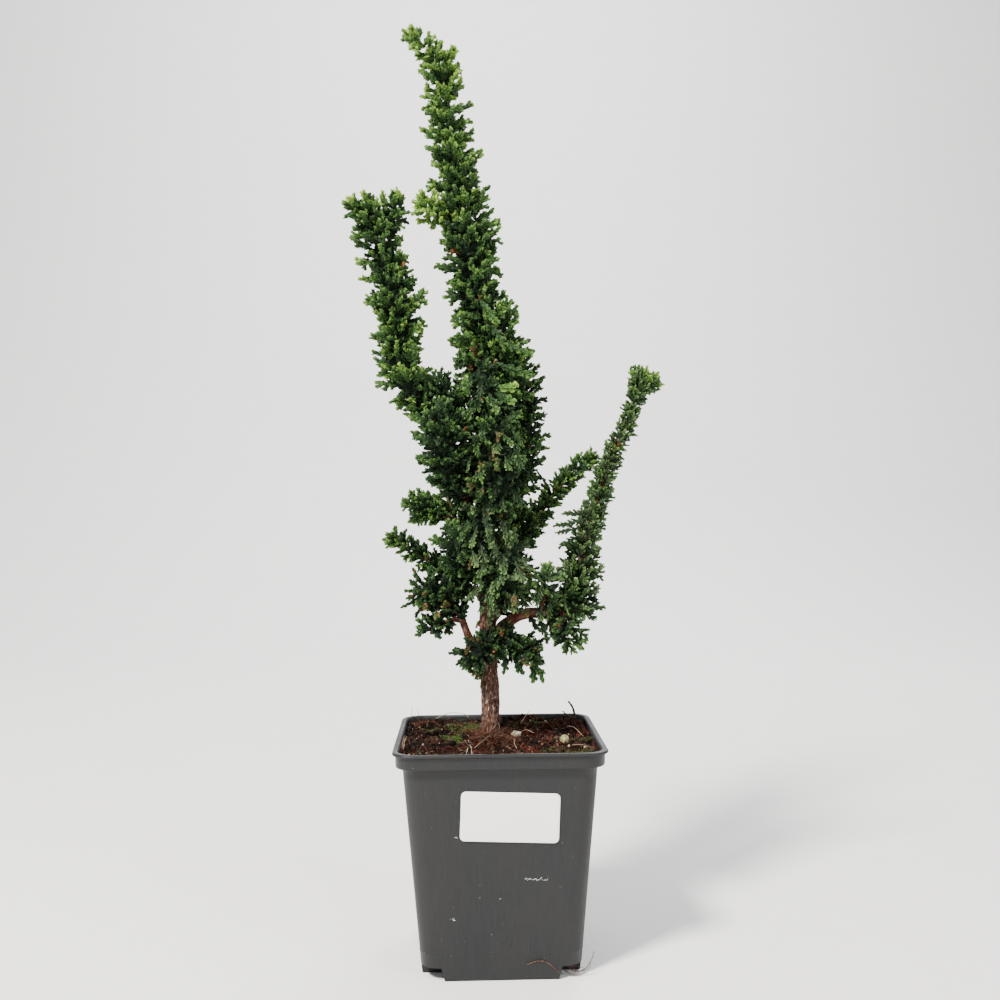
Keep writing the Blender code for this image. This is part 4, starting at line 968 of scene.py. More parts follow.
def clothe_axis(cords, axis, look, tones, number, samples, rng):
    """Sprays all round one leafy axis, closer together where the axis is thicker, and at its tip."""
    rows = smooth_route(axis, AXIS_STEP)
    tangents, sides, normals = frames_along(rows[:, :3])
    turn = rng.uniform(0, TURN)
    place = 0.0
    while place < len(rows) - 1:
        index = int(place)
        share = index / len(rows)
        turn += GOLDEN_ANGLE
        spot, tangent = rows[index, :3], tangents[index]
        radial = spoke(turn, sides[index], normals[index])
        plain_reach = rows[index, 3]
        lump = noise.noise(Vector(spot + radial * plain_reach) / LUMP_SIZE)
        reach = plain_reach * (1 + SPRAY_LUMPS * lump)
        tone = tones[0] + (tones[1] - tones[0]) * share ** TONE_RISE + rng.uniform(-0.08, 0.08)
        # Painted shade and light: sprays tucked into the foliage darker, those that reach out lighter
        tone += 0.10 * lump
        area = look["area"][0] + (look["area"][1] - look["area"][0]) * share ** 1.3
        area *= min(1.0, plain_reach / SLIM_REACH)
        place += area / (TURN * plain_reach * 0.85) / AXIS_STEP
        if rng.random() < look["hang"] and radial[1] < 0.3:
            add_frond(cords, spot, radial, reach, tone, look, number, samples, rng)
            continue
        direction = unit(radial + tangent * (look["lean"] + rng.uniform(-0.4, 0.4)))
        length = reach * rng.uniform(*SPRAY_REACH) / max(0.75, direction.dot(radial))
        cored = plain_reach >= CORE_LEAST_REACH and share < look["core"]
        begin = SPRAY_START if cored else OPEN_START
        if cored:
            add_shade_cord(cords, spot, radial, tangent, reach, tone, rng)
        end = spot + direction * length
        if end[2] < look["floor"] or buried(end, number, samples):
            continue
        across = turned(np.cross(direction, tangent), direction, rng.uniform(-1.5, 1.5))
        root = spot + direction * begin * length
        add_spray(cords, root, direction, across, length * (1 - begin), tone, look, rng)
    for index in range(3):
        radial = spoke(turn, sides[-1], normals[-1])
        turn += TURN / 3
        direction = unit(tangents[-1] + radial * 0.45)
        length = rows[-1, 3] * rng.uniform(0.85, 1.0)
        add_spray(cords, rows[-1, :3] - direction * 2, direction, radial, length, tones[1], look, rng)


def add_frond(cords, spot, radial, reach, tone, look, number, samples, rng):
    """A long fine spray that hangs down over the body with its face outwards."""
    start = spot + radial * reach * rng.uniform(0.45, 0.80)
    direction = unit(radial * rng.uniform(0.25, 0.6) + (rng.uniform(-0.6, 0.6), 0, -1))
    length = min(rng.uniform(8, 14), (start[2] - look["floor"]) / -direction[2])
    if length < 4 or buried(start + direction * length * 0.6, number, samples):
        return
    across = np.cross(direction, radial) + radial * rng.uniform(-0.4, 0.4)
    frond = {**look, "thin": 0.70, "gap": 0.66}
    add_spray(cords, start, direction, across, length, tone + 0.03, frond, rng, 0.72)
    add_shade_cord(cords, spot, radial, np.array((0, 0, 1.0)), reach, tone, rng)


def add_shade_core(pile, axis, length, rng):
    """Painted shade inside a limb's foliage: a closed dark tube, rough like leaves in shadow."""
    rows = smooth_route(axis, 1.7)
    rows = rows[:round(len(rows) * length)]
    rows = rows[rows[:, 3] >= CORE_LEAST_REACH]
    if len(rows) < 4:
        return
    tangents, sides, normals = frames_along(rows[:, :3])
    verts = []
    values = []
    for index, row in enumerate(rows):
        taper = min(1.0, 0.45 + 0.18 * min(index, len(rows) - 1 - index))
        for place in range(CORE_SIDES):
            turn = TURN * (place + 0.5 * (index % 2)) / CORE_SIDES
            radial = spoke(turn, sides[index], normals[index])
            rough = rng.uniform(1 - CORE_ROUGHNESS, 1 + CORE_ROUGHNESS)
            verts.append(row[:3] + radial * row[3] * CORE_SHARE * taper * rough)
            # Painted shade: nearly black, a little lighter on the bumps that stick out
            values.append((0.22 * (rough - 1 + CORE_ROUGHNESS), 0.5, 0.0, 0.0))
    verts.append(rows[0, :3] - tangents[0])
    verts.append(rows[-1, :3] + tangents[-1])
    values += [values[0], values[0]]
    pile.add(verts, tube_faces(len(rows), CORE_SIDES), values)


def add_stem(pile, axis):
    """The thin stem inside a leafy axis."""
    rows = smooth_route(axis, 2.0)[:, :3]
    radii = np.linspace(STEM_RADIUS * 1.3, STEM_RADIUS * 0.6, len(rows))
    pile.add(*strand(rows, radii, 5), (0.50, 0.5, 0.35, 0.0))


def clothe_limb(cords, pile, name, number, samples, look, rng):
    """Sprays, a dark inside of painted shade and a stem on every leafy axis of a limb."""
    low, high = look["tone"]
    bright = len(SIDE_SHOOTS.get(name, []))
    for order, axis in enumerate(shoots(name)):
        tones = (low, high)
        if 0 < order <= bright:
            tones = (high - SHOOT_TONE, high + SHOOT_TONE)
        elif order:
            tones = (low, low + SHOOT_TONE)
        clothe_axis(cords, axis, look, tones, number, samples, rng)
        add_shade_core(pile, axis, look["core"], rng)
        add_stem(pile, axis)


def add_single_sprays(cords, name, look, rng):
    """A limb's dead sprays, and those that stand out."""
    for *start, length in DEAD_SPRAYS.get(name, []):
        dead = {**look, "dead": 1.0, "girth": 0.75}
        way = np.array((rng.uniform(-1, 1), -0.4, rng.uniform(-1, 0.3)))
        add_spray(cords, np.array(start), way, np.array((0.3, 0.1, 1)), length, 0.4, dead, rng)
    for start, way, length, tone, fine in SHOWN_SPRAYS.get(name, []):
        blade = {**look, **BLADE_LOOK}
        if tone > FRESH_TONE:
            blade["grey"] = 0.0
        way = np.array(way, dtype=float)
        add_spray(cords, np.array(start), way, np.cross(way, (0, 1, 0)), length, tone, blade, rng, fine)


def build_foliage(material):
    samples = axis_samples()
    for number, name in enumerate(LIMBS):
        rng = random.Random(f"sprays {name}")
        cords = Cords()
        pile = Pile()
        look = {**PLAIN_LOOK, **LOOKS[name]}
        clothe_limb(cords, pile, name, number, samples, look, rng)
        add_single_sprays(cords, name, look, rng)
        cords.fill(pile)
        settle(pile.make(f"sprays_{name}", material, False), "foliage", f"foliage_{name}")


def settle(piece, slot, *nodes):
    """Attach a piece to the body and hide the nodes that it stands for. The slot is not used."""
    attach(piece, BODY)
    if nodes:
        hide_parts(*nodes)


# Wood

def add_bark_tube(pile, rows, radii, sides, young, red, rough):
    """A tube along rows with upright ridges of bark on it."""
    tangents, side, normal = frames_along(rows)
    verts = []
    values = []
    for index, row in enumerate(rows):
        for place in range(sides):
            radial = spoke(TURN * place / sides, side[index], normal[index])
            across = radial * radii[index] * 1.1
            where = Vector((across[0], across[1], row[2] * 0.16))
            ridge = 1 - 2 * abs(noise.noise(where))
            fine = noise.noise(where * 3.1)
            bulge = noise.noise(Vector(row / 7 + radial * 0.6))
            lift = rough * (0.75 * ridge + 0.4 * fine + 1.1 * bulge)
            verts.append(row + radial * (radii[index] + lift))
            values.append((max(0, ridge - 0.8) * 1.2, young[index], red, 0))
    verts.append(rows[0] - tangents[0] * radii[0])
    verts.append(rows[-1] + tangents[-1] * radii[-1])
    values += [values[0], values[-1]]
    pile.add(verts, tube_faces(len(rows), sides), values)


def wood_rows(name, step):
    """A limb's woody stretch as points, radii and how far along it each point is."""
    (root_radius, tip_radius), woody, route = LIMBS[name]
    rows = smooth_route(route, step)
    rows = rows[:max(3, round(len(rows) * woody))]
    share = np.linspace(0, 1, len(rows))
    radii = root_radius + (tip_radius - root_radius) * share ** WOOD_TAPER
    return rows[:, :3], radii, share


def add_trunk(pile):
    """The trunk: ridged bark where it shows, and a plainer tube where the leaves hide it."""
    rows, radii, _ = wood_rows("leader", 0.6)
    radii = radii - TRUNK_SLIM
    foot = np.array([(*TRUNK_PLACE, z) for z in np.arange(104, TRUNK_FOOT, 0.6)])
    flare = radii[0] + 0.7 * np.clip((TRUNK_FOOT - foot[:, 2]) / 8, 0, 1) ** 1.5
    rows = np.vstack([foot, rows])
    radii = np.concatenate([flare, radii])
    young = np.interp(rows[:, 2], YOUNG_BARK, (0, 1))
    low = rows[:, 2] < SHOWN_TRUNK
    high = rows[:, 2] >= SHOWN_TRUNK - 1
    add_bark_tube(pile, rows[low], radii[low], TRUNK_SIDES, young[low], red=0.35, rough=0.62)
    add_bark_tube(pile, rows[high][::4], radii[high][::4], 10, young[high][::4], red=0.4, rough=0.15)


def add_limbs(pile):
    for name in LIMBS:
        if name != "leader":
            rows, radii, share = wood_rows(name, 1.4)
            young = np.clip((share - 0.75) / 0.25, 0, 1) * 0.7
            add_bark_tube(pile, rows, radii, LIMB_SIDES, young, red=1.0, rough=0.34)


def add_roots(pile):
    """Surface roots that dive into the soil."""
    start = np.array((*TRUNK_PLACE, 115.5))
    for bearing in ROOT_BEARINGS:
        out = around(math.radians(bearing))
        rows = curve([start, start + out * 9.5 - (0, 0, 3.6), start + out * 19 - (0, 0, 7)], 1.0)
        radii = np.interp(np.linspace(0, 1, len(rows)), (0, 0.5, 1), ROOT_RADII)
        add_bark_tube(pile, rows, radii, ROOT_SIDES, np.zeros(len(rows)), red=0.2, rough=0.3)


def build_wood(material):
    pile = Pile()
    add_trunk(pile)
    add_limbs(pile)
    add_roots(pile)
    add_bark_strips(pile, random.Random("bark"))
    settle(pile.make("bark_trunk_and_limbs", material), "bark", "trunk_and_limbs")


def trunk_point(z, bearing, lift):
    """A point on the trunk's surface at a height and a bearing, lifted off it."""
    (foot_radius, _), _, route = LIMBS["leader"]
    route = np.array(route, dtype=float)
    middle = np.array([np.interp(z, route[:, 2], route[:, axis]) for axis in (0, 1, 2)])
    middle[2] = z
    radius = foot_radius - TRUNK_SLIM + 1.2 * max(0.0, (TRUNK_FOOT - z) / 8)
    radius = radius - 0.010 * max(0.0, z - TRUNK_FOOT) + lift
    return middle + around(bearing) * radius


def add_bark_strips(pile, rng):
    """Thin shreds of bark that cross the trunk's surface and peel off at an end."""
    for index in range(STRIP_COUNT):
        z = rng.uniform(*STRIP_HEIGHTS)
        turn = rng.uniform(0, TURN)
        rise = rng.uniform(2.5, 8)
        drift = clamp(rng.gauss(0, 0.4), -0.7, 0.7) * min(1.0, rise / 5)
        peel = rng.uniform(0.3, 1.5) if rng.random() < 0.40 else 0.1
        width = rng.uniform(0.14, 0.50) if index % 4 else rng.uniform(0.4, 0.85)
        points = []
        for share in np.linspace(0, 1, len(STRIP_TAPER)):
            lift = 0.12 + peel * max(0.0, share - 0.55) * 2.0
            points.append(trunk_point(z + rise * share, turn + drift * share, lift))
        shred = strand(points, np.array(STRIP_TAPER) * width, 4, 0.4, around(turn))
        pale = rng.uniform(0.5, 1.0) if rng.random() < 0.30 else rng.uniform(0.0, 0.2)
        pale *= min(1.0, 1.6 - (z - STRIP_HEIGHTS[0]) / 60)
        pile.add(*shred, (pale, 0, rng.random(), 0))


# Pot, label and soil

def rounded_square(half, corner, z):
    """Points round a square with round corners, anticlockwise, the same number for every size."""
    points = []
    for quarter in range(4):
        spin = quarter * math.pi / 2
        run = []
        for index in range(SIDE_POINTS):
            run.append((half, -(half - corner) + 2 * (half - corner) * index / SIDE_POINTS))
        for index in range(CORNER_POINTS):
            angle = math.pi / 2 * index / CORNER_POINTS
            run.append((half - corner + corner * math.cos(angle),
                        half - corner + corner * math.sin(angle)))
        for x, y in run:
            points.append((x * math.cos(spin) - y * math.sin(spin),
                           x * math.sin(spin) + y * math.cos(spin), z))
    return points


def wall_half(z):
    return (BASE_WIDTH + (WALL_TOP_WIDTH - BASE_WIDTH) * z / BAND_BOTTOM) / 2


def loft(name, rings, material):
    """A closed solid through equal rings of points, with its ends closed. Sizes are in mm."""
    bm = bmesh.new()
    loops = [[bm.verts.new(Vector(point) * MM) for point in ring] for ring in rings]
    for near, far in zip(loops, loops[1:]):
        for index in range(len(near)):
            after = (index + 1) % len(near)
            bm.faces.new((near[index], near[after], far[after], far[index]))
    bm.faces.new(list(reversed(loops[0])))
    bm.faces.new(loops[-1])
    bmesh.ops.recalc_face_normals(bm, faces=bm.faces)
    mesh = bpy.data.meshes.new(name)
    bm.to_mesh(mesh)
    bm.free()
    mesh.materials.append(material)
    return link(name, mesh)


def cut(piece, cutters):
    """Cut pieces out of another and remove them."""
    for cutter in cutters:
        modifier = piece.modifiers.new("Cut", "BOOLEAN")
        modifier.operation = "DIFFERENCE"
        modifier.object = cutter
        modifier.solver = "EXACT"
    depsgraph = bpy.context.evaluated_depsgraph_get()
    mesh = bpy.data.meshes.new_from_object(piece.evaluated_get(depsgraph))
    piece.modifiers.clear()
    piece.data = mesh
    for cutter in cutters:
        bpy.data.objects.remove(cutter, do_unlink=True)


def pot_profile():
    """The pot's rings: up the outside, round the rolled lip and down the inside, as half widths."""
    lip = LIP_WIDTH / 2
    band = BAND_WIDTH / 2
    wall = WALL_TOP_WIDTH / 2
    rows = [(wall_half(0) - 0.9, 0.0), (wall_half(0) - 0.25, 0.25), (wall_half(1), 1.0)]
    rows += [(wall_half(z), z) for z in (5.0, MOULD_LINE - 0.3)]
    ridge = wall_half(MOULD_LINE) + 0.12
    rows += [(ridge, MOULD_LINE), (ridge, MOULD_LINE + 0.5)]
    rows += [(wall_half(z), z) for z in (MOULD_LINE + 0.9, 30.0, 50.0, 70.0, 90.0, 104.0)]
    rows += [(wall - 0.1, BAND_BOTTOM - 0.6), (wall + 0.25, BAND_BOTTOM), (band - 0.8, BAND_BOTTOM + 0.25),
             (band - 0.2, BAND_BOTTOM + 0.6), (band, BAND_BOTTOM + 1.3), (band + 0.15, 115.3),
             (band + 0.25, 115.9), (lip - 0.6, 116.25), (lip - 0.12, 116.6), (lip, 117.1),
             (lip - 0.15, 117.55), (lip - 0.6, 117.9), (lip - 1.3, POT_HEIGHT), (band - 0.9, 117.85)]
    inner = band - POT_WALL
    rows += [(inner + 0.1, 117.2), (inner - 0.1, 116.4), (inner - 0.2, BAND_BOTTOM + 2.0),
             (wall - POT_WALL + 0.3, BAND_BOTTOM + 0.6), (wall - POT_WALL - 0.1, BAND_BOTTOM - 0.6),
             (wall_half(60) - POT_WALL, 60.0),
             (wall_half(FOOT_HEIGHT) - POT_WALL, FOOT_HEIGHT + POT_WALL),
             (FOOT_HALF_LENGTH - POT_WALL, FOOT_HEIGHT + POT_WALL),
             (FOOT_HALF_LENGTH - POT_WALL, POT_WALL)]
    return rows


def corner_cutters(side_x, side_y, material):
    """The notch in the pot's foot at one corner, and the drain hole there."""
    notch = []
    for z in (CUT_BOTTOM, FOOT_HEIGHT):
        near = FOOT_HALF_LENGTH + NOTCH_SLANT * (z - FOOT_HEIGHT / 2)
        square = ((near, near), (CUT_FAR, near), (CUT_FAR, CUT_FAR), (near, CUT_FAR))
        notch.append([(side_x * x, side_y * y, z) for x, y in square])
    drain = []
    for z in (CUT_BOTTOM, FOOT_HEIGHT + 8):
        turns = [index * math.pi / 12 for index in range(24)]
        drain.append([(side_x * DRAIN_OFFSET + DRAIN_RADIUS * math.cos(turn),
                       side_y * DRAIN_OFFSET + DRAIN_RADIUS * math.sin(turn), z) for turn in turns])
    return [loft("Notch", notch, material), loft("Drain", drain, material)]


def build_pot(material):
    rings = [rounded_square(half, POT_CORNER - max(0.0, LIP_WIDTH / 2 - half) * 0.12, z)
             for half, z in pot_profile()]
    pot = loft("plastic_pot", rings, material)
    cutters = []
    for side_x, side_y in itertools.product((-1, 1), (-1, 1)):
        cutters += corner_cutters(side_x, side_y, material)
    cut(pot, cutters)
    pot.data.shade_smooth()
    pot.data.set_sharp_from_angle(angle=math.radians(38))
    settle(pot, "pot_plastic", "pot")


def build_label(material):
    """A bare white sticker with round corners that hugs the front wall."""
    thin = LABEL_THICKNESS / 2
    outline = []
    for sign_x, sign_z, first in ((1, 1, 0), (-1, 1, 1), (-1, -1, 2), (1, -1, 3)):
        for index in range(9):
            angle = (first + index / 8) * math.pi / 2
            x = sign_x * (LABEL_WIDTH / 2 - LABEL_CORNER) + LABEL_CORNER * math.cos(angle)
            z = sign_z * (LABEL_HEIGHT / 2 - LABEL_CORNER) + LABEL_CORNER * math.sin(angle)
            outline.append((x, z))
    rings = []
    for inset, y in ((0.0, thin), (0.0, -0.4 * thin), (0.12, -0.8 * thin), (0.4, -thin)):
        share = 1 - inset / (LABEL_HEIGHT / 2)
        rings.append([(x * share, y, z * share) for x, z in outline])
    label = loft("white_label", rings, material)
    slope = math.atan((WALL_TOP_WIDTH - BASE_WIDTH) / 2 / BAND_BOTTOM)
    front = -wall_half(LABEL_PLACE[1]) - (0.35 + thin) / math.cos(slope)
    turn = Matrix.Rotation(slope, 4, "X")
    roll = Matrix.Rotation(LABEL_ROLL, 4, "Y")
    shift = Matrix.Translation(Vector((LABEL_PLACE[0], front, LABEL_PLACE[1])) * MM)
    label.data.transform(shift @ turn @ roll)
    label.data.shade_smooth()
    label.data.set_sharp_from_angle(angle=math.radians(50))
    settle(label, "label_paper", "label")


def soil_noise(x, y, layer, size):
    """Smooth noise at a place on the soil. Each layer has a pattern of its own."""
    return noise.noise(Vector((x, y, layer)) / size)


def soil_height(x, y):
    """The soil's plain surface, heaped round the trunk and up to the pot's wall, in mm."""
    mound = SOIL_MOUND * math.exp(-((x - TRUNK_PLACE[0]) ** 2 + y ** 2) / SOIL_MOUND_RADIUS ** 2)
    edge = max(abs(x), abs(y)) / SOIL_HALF
    rise = SOIL_EDGE_RISE * max(0.0, edge - 0.62) / 0.38
    rise += SOIL_BACK_RISE * max(0.0, y / SOIL_HALF - 0.3)
    return SOIL_LEVEL + mound + rise + soil_noise(x, y, 0, SOIL_BUMP_SIZE) * SOIL_BUMP


def rough_height(x, y):
    """The soil's surface with its clods and crumbs."""
    clods = noise.fractal(Vector((x, y, 4.0)) / 6.5, 0.8, 2.2, 4)
    fine = abs(soil_noise(x, y, 17, 1.7))
    return min(soil_height(x, y) + 2.2 * clods + 0.9 * fine, SOIL_CEILING)


def redness(x, y):
    """How rust-red the soil is at a place: patchy, and nearly black at the pot's left."""
    patch = 0.42 + 0.95 * soil_noise(x, y, 9, 13) + 0.25 * soil_noise(x, y, 5, 5)
    return clamp(patch - 0.04 + 0.005 * x)


def into_square(x, y, half, corner):
    """Draw a point of a square in to the same square with round corners."""
    edge = half - corner
    over_x, over_y = abs(x) - edge, abs(y) - edge
    if over_x <= 0 or over_y <= 0:
        return x, y
    share = max(over_x, over_y) / math.hypot(over_x, over_y)
    return math.copysign(edge + over_x * share, x), math.copysign(edge + over_y * share, y)


def inside(x, y, half):
    """A place moved in to a square of the pot's corners."""
    return into_square(clamp(x, -half, half), clamp(y, -half, half), half, POT_CORNER)


def add_soil_block(pile):
    """The soil: a rough top, walls just inside the pot's and a plain bottom on the foot."""
    side = SOIL_GRID + 1
    verts = []
    faces = []
    for row, column in itertools.product(range(side), repeat=2):
        x = (2 * column / SOIL_GRID - 1) * SOIL_HALF
        y = (2 * row / SOIL_GRID - 1) * SOIL_HALF
        x, y = into_square(x, y, SOIL_HALF, SOIL_CORNER)
        verts.append((x, y, rough_height(x, y)))
        if row < SOIL_GRID and column < SOIL_GRID:
            a = row * side + column
            faces += [(a, a + 1, a + side + 1), (a, a + side + 1, a + side)]
    values = [soil_look(*vert) for vert in verts]
    loop = rim = grid_rim(side, side)
    foot = FOOT_HALF_LENGTH - SOIL_INSET
    bottom = FOOT_HEIGHT + SOIL_INSET
    ledge = wall_half(BAND_BOTTOM) - SOIL_INSET
    for width, z in ((SOIL_HALF, BAND_BOTTOM + 2.2), (ledge, BAND_BOTTOM + 0.8), (ledge - 0.3, 108.0),
                     (wall_half(bottom) - SOIL_INSET, bottom), (foot, bottom), (foot, SOIL_INSET)):
        below = list(range(len(verts), len(verts) + len(rim)))
        verts += [(verts[index][0] * width / SOIL_HALF, verts[index][1] * width / SOIL_HALF, z)
                  for index in rim]
        for index in range(len(rim)):
            after = (index + 1) % len(rim)
            faces += [(loop[after], loop[index], below[index]), (loop[after], below[index], below[after])]
        loop = below
    middle = len(verts)
    verts.append((0, 0, SOIL_INSET))
    faces += [(loop[(index + 1) % len(loop)], loop[index], middle) for index in range(len(loop))]
    values += [NO_LOOK] * (len(verts) - len(values))
    pile.add(verts, faces, values)


def soil_look(x, y, z):
    """The look of a point of the soil's top: redder by patches, and darker in its hollows as painted shade.
    """
    red = redness(x, y)
    return red, 0, 0, clamp(0.45 - 0.60 * (z - soil_height(x, y)) - 0.4 * red)


def icosahedron():
    """The 12 corners of an icosahedron and its 20 faces, facing out."""
    golden = (1 + math.sqrt(5)) / 2
    corners = []
    for first, second in itertools.product((-1, 1), (-golden, golden)):
        corners += [(0, first, second), (first, second, 0), (second, 0, first)]
    corners = np.array(corners)
    faces = []
    for a, b, c in itertools.combinations(range(12), 3):
        one, two = corners[b] - corners[a], corners[c] - corners[a]
        if max(np.linalg.norm(edge) for edge in (one, two, one - two)) < 2.1:
            out = np.cross(one, two).dot(corners[a])
            faces.append((a, b, c) if out > 0 else (a, c, b))
    return corners / math.hypot(1, golden), np.array(faces)


CRUMB_CORNERS, CRUMB_FACES = icosahedron()
MOSS_LEAF = np.array([(0, 2, 1), (0, 1, 3), (0, 3, 2), (1, 4, 3), (3, 4, 2), (1, 2, 4)])


def crumb(rng, size):
    """A small jagged lump round the origin, as points."""
    turn = np.array(Matrix.Rotation(rng.uniform(0, 6.3), 3, Vector((rng.random(), rng.random(), 0.5))))
    stretch = np.array((1, rng.uniform(0.5, 1), rng.uniform(0.4, 0.9)))
    jitter = np.array([rng.uniform(0.7, 1.3) for index in range(12)])[:, None]
    return (CRUMB_CORNERS * jitter * stretch * size) @ turn.T


def lay_crumb(pile, points, x, y, lift, values):
    pile.add(points + (x, y, rough_height(x, y) + lift), CRUMB_FACES, values)


def random_spot(rng, margin=1.0):
    """A place on the soil inside the pot's wall, clear of the trunk."""
    half = SOIL_HALF - margin
    while True:
        x, y = rng.uniform(-half, half), rng.uniform(-half, half)
        x, y = into_square(x, y, half, POT_CORNER)
        if math.hypot(x - TRUNK_PLACE[0], y) > TRUNK_ROOM:
            return x, y


def spot_in(rng, x, y, radius):
    """A place in a round patch, kept inside the pot's wall."""
    away = radius * math.sqrt(rng.random())
    turn = rng.uniform(0, TURN)
    return inside(x + away * math.cos(turn), y + away * math.sin(turn), SOIL_HALF - 1.5)


def add_litter(pile, rng):
    """Crumbs, pale grains and fibres all over the soil."""
    for index in range(CRUMB_COUNT):
        x, y = random_spot(rng)
        size = 0.35 + 1.9 * rng.random() ** 3
        points = crumb(rng, size)
        red = redness(x, y)
        shade = clamp(rng.uniform(0.2, 1.1) - 0.6 * red)
        values = (min(1.0, red + rng.uniform(-0.3, 0.3)), 0.12 * rng.random() ** 3, 0, shade)
        lay_crumb(pile, points, x, y, 0.25 * size, values)
    for index in range(GRAIN_COUNT):
        x, y = random_spot(rng)
        size = 0.2 + 0.80 * rng.random() ** 3
        lay_crumb(pile, crumb(rng, size), x, y, 0.3 * size, (0, rng.uniform(0.4, 1.0), 0, 0))
    for x, y, size in PALE_BITS:
        lay_crumb(pile, crumb(rng, size), x, y, 0.4 * size, (0, 1.0, 0, 0))
    for index in range(FIBRE_COUNT):
        x, y = random_spot(rng, 3.0)
        pale = rng.uniform(0.3, 0.8) if rng.random() < 0.06 else 0.05 * rng.random()
        look = (rng.uniform(0.4, 1.0), pale, 0, 0.75 * rng.random())
        add_fibre(pile, x, y, rng.uniform(1.5, 7), rng.uniform(0.0, 0.35), look, rng)


def add_fibre(pile, x, y, length, arch, values, rng):
    """A thin bowed fibre that lies on the soil."""
    angle = rng.uniform(0, TURN)
    bow = rng.uniform(-1.0, 1.0)
    points = []
    for step in range(6):
        share = step / 5
        heading = angle + bow * (share - 0.5)
        px, py = inside(x + length * (share - 0.5) * math.cos(heading),
                        y + length * (share - 0.5) * math.sin(heading), 50.5)
        lift = 0.2 + arch * length * math.sin(math.pi * share)
        points.append((px + 0.01 * step, py, rough_height(px, py) + lift))
    pile.add(*strand(points, rng.uniform(0.10, 0.30), 3), values)


def add_heap(pile, heap, rng):
    """A tuft of curled fibres that stand up out of the soil."""
    x, y, radius, height, count, red = heap
    for index in range(count):
        px, py = spot_in(rng, x, y, radius)
        start = np.array((px, py, rough_height(px, py) - 0.4))
        rise = height * rng.uniform(0.3, 1.0) * (1.15 - math.hypot(px - x, py - y) / radius)
        turn = rng.uniform(0, TURN)
        out = around(turn) * rng.uniform(0.3, 1.3) + (0, 0, 1.0)
        curl = (around(turn + math.pi / 2) - (0, 0, 0.7)) * rng.uniform(0.2, 1.0)
        points = []
        for share in (0, 0.33, 0.66, 1.0):
            point = start + out * rise * share + curl * rise * share ** 2
            points.append((*inside(point[0], point[1], 51), point[2]))
        fibre = strand(points, np.array((1.0, 0.9, 0.7, 0.4)) * rng.uniform(0.16, 0.36), 3)
        values = (red * rng.uniform(0.8, 1.0), 0.30 * rng.random() ** 2, 0, 0.4 * rng.random())
        pile.add(*fibre, values)


def add_moss_sprig(pile, place, height, fresh, rng):
    """A moss shoot: a star of small pointed leaves."""
    for index in range(SPRIG_LEAVES):
        turn = index * GOLDEN_ANGLE + rng.random()
        way = around(turn) * rng.uniform(0.2, 1.2) + (0, 0, 1.0)
        side = around(turn + math.pi / 2) * (0.16 + 0.12 * height)
        middle = place + way * height * 0.5
        verts = [place, middle + side, middle - side, middle + (0, 0, 0.12), place + way * height]
        shade = 0.6 * rng.random()
        pile.add(verts, MOSS_LEAF, (fresh * rng.uniform(0.7, 1.0), 0.12 * rng.random(), 1.0, shade))


def build_soil(material):
    pile = Pile()
    rng = random.Random("soil")
    add_soil_block(pile)
    add_litter(pile, rng)
    settle(pile.make("peat_soil", material), "soil", "soil")


def build_fibres(material):
    """Tufts of curled fibre, straws and rootlets on the soil."""
    pile = Pile()
    rng = random.Random("fibres")
    for heap in FIBRE_HEAPS:
        add_heap(pile, heap, rng)
    for pale, radius, route in STRAWS:
        rows = curve(route, 0.8)
        pile.add(*strand(rows, radius * np.linspace(1.0, 0.7, len(rows)), 5), (0.9, pale, 0, 0))
    settle(pile.make("soil_fibres", material), "soil")


def build_moss(material):
    """Loose moss in patches on the soil."""
    pile = Pile()
    rng = random.Random("moss")
    for x, y, radius, count, fresh, tallest in MOSS_PATCHES:
        for index in range(count):
            px, py = spot_in(rng, x, y, radius)
            place = np.array((px, py, rough_height(px, py) - 0.3))
            add_moss_sprig(pile, place, rng.uniform(0.35, 1.0) * tallest, fresh, rng)
    settle(pile.make("moss_patches", material), "moss")


# Small pieces

def shell(grid, thickness):
    """A closed sheet from a grid of points, as vertices and faces."""
    grid = np.asarray(grid, dtype=float)
    rows, columns = grid.shape[:2]
    normal = np.cross(np.gradient(grid, axis=1), np.gradient(grid, axis=0))
    normal /= np.linalg.norm(normal, axis=2)[:, :, None] + 1e-9
    top = (grid + normal * thickness / 2).reshape(-1, 3)
    under = (grid - normal * thickness / 2).reshape(-1, 3)
    faces = []
    shift = rows * columns
    for row, column in itertools.product(range(rows - 1), range(columns - 1)):
        a = row * columns + column
        b, c, d = a + 1, a + columns + 1, a + columns
        faces += [(a, c, b), (a, d, c)]
        faces += [(a + shift, b + shift, c + shift), (a + shift, c + shift, d + shift)]
    rim = grid_rim(rows, columns)
    for index, near in enumerate(rim):
        far = rim[(index + 1) % len(rim)]
        faces += [(near, far, far + shift), (near, far + shift, near + shift)]
    return np.vstack([top, under]), np.array(faces)


def box_mm(node):
    """A node's middle and size in mm."""
    low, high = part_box(node)
    low, high = np.array(low) / MM, np.array(high) / MM
    return (low + high) / 2, high - low


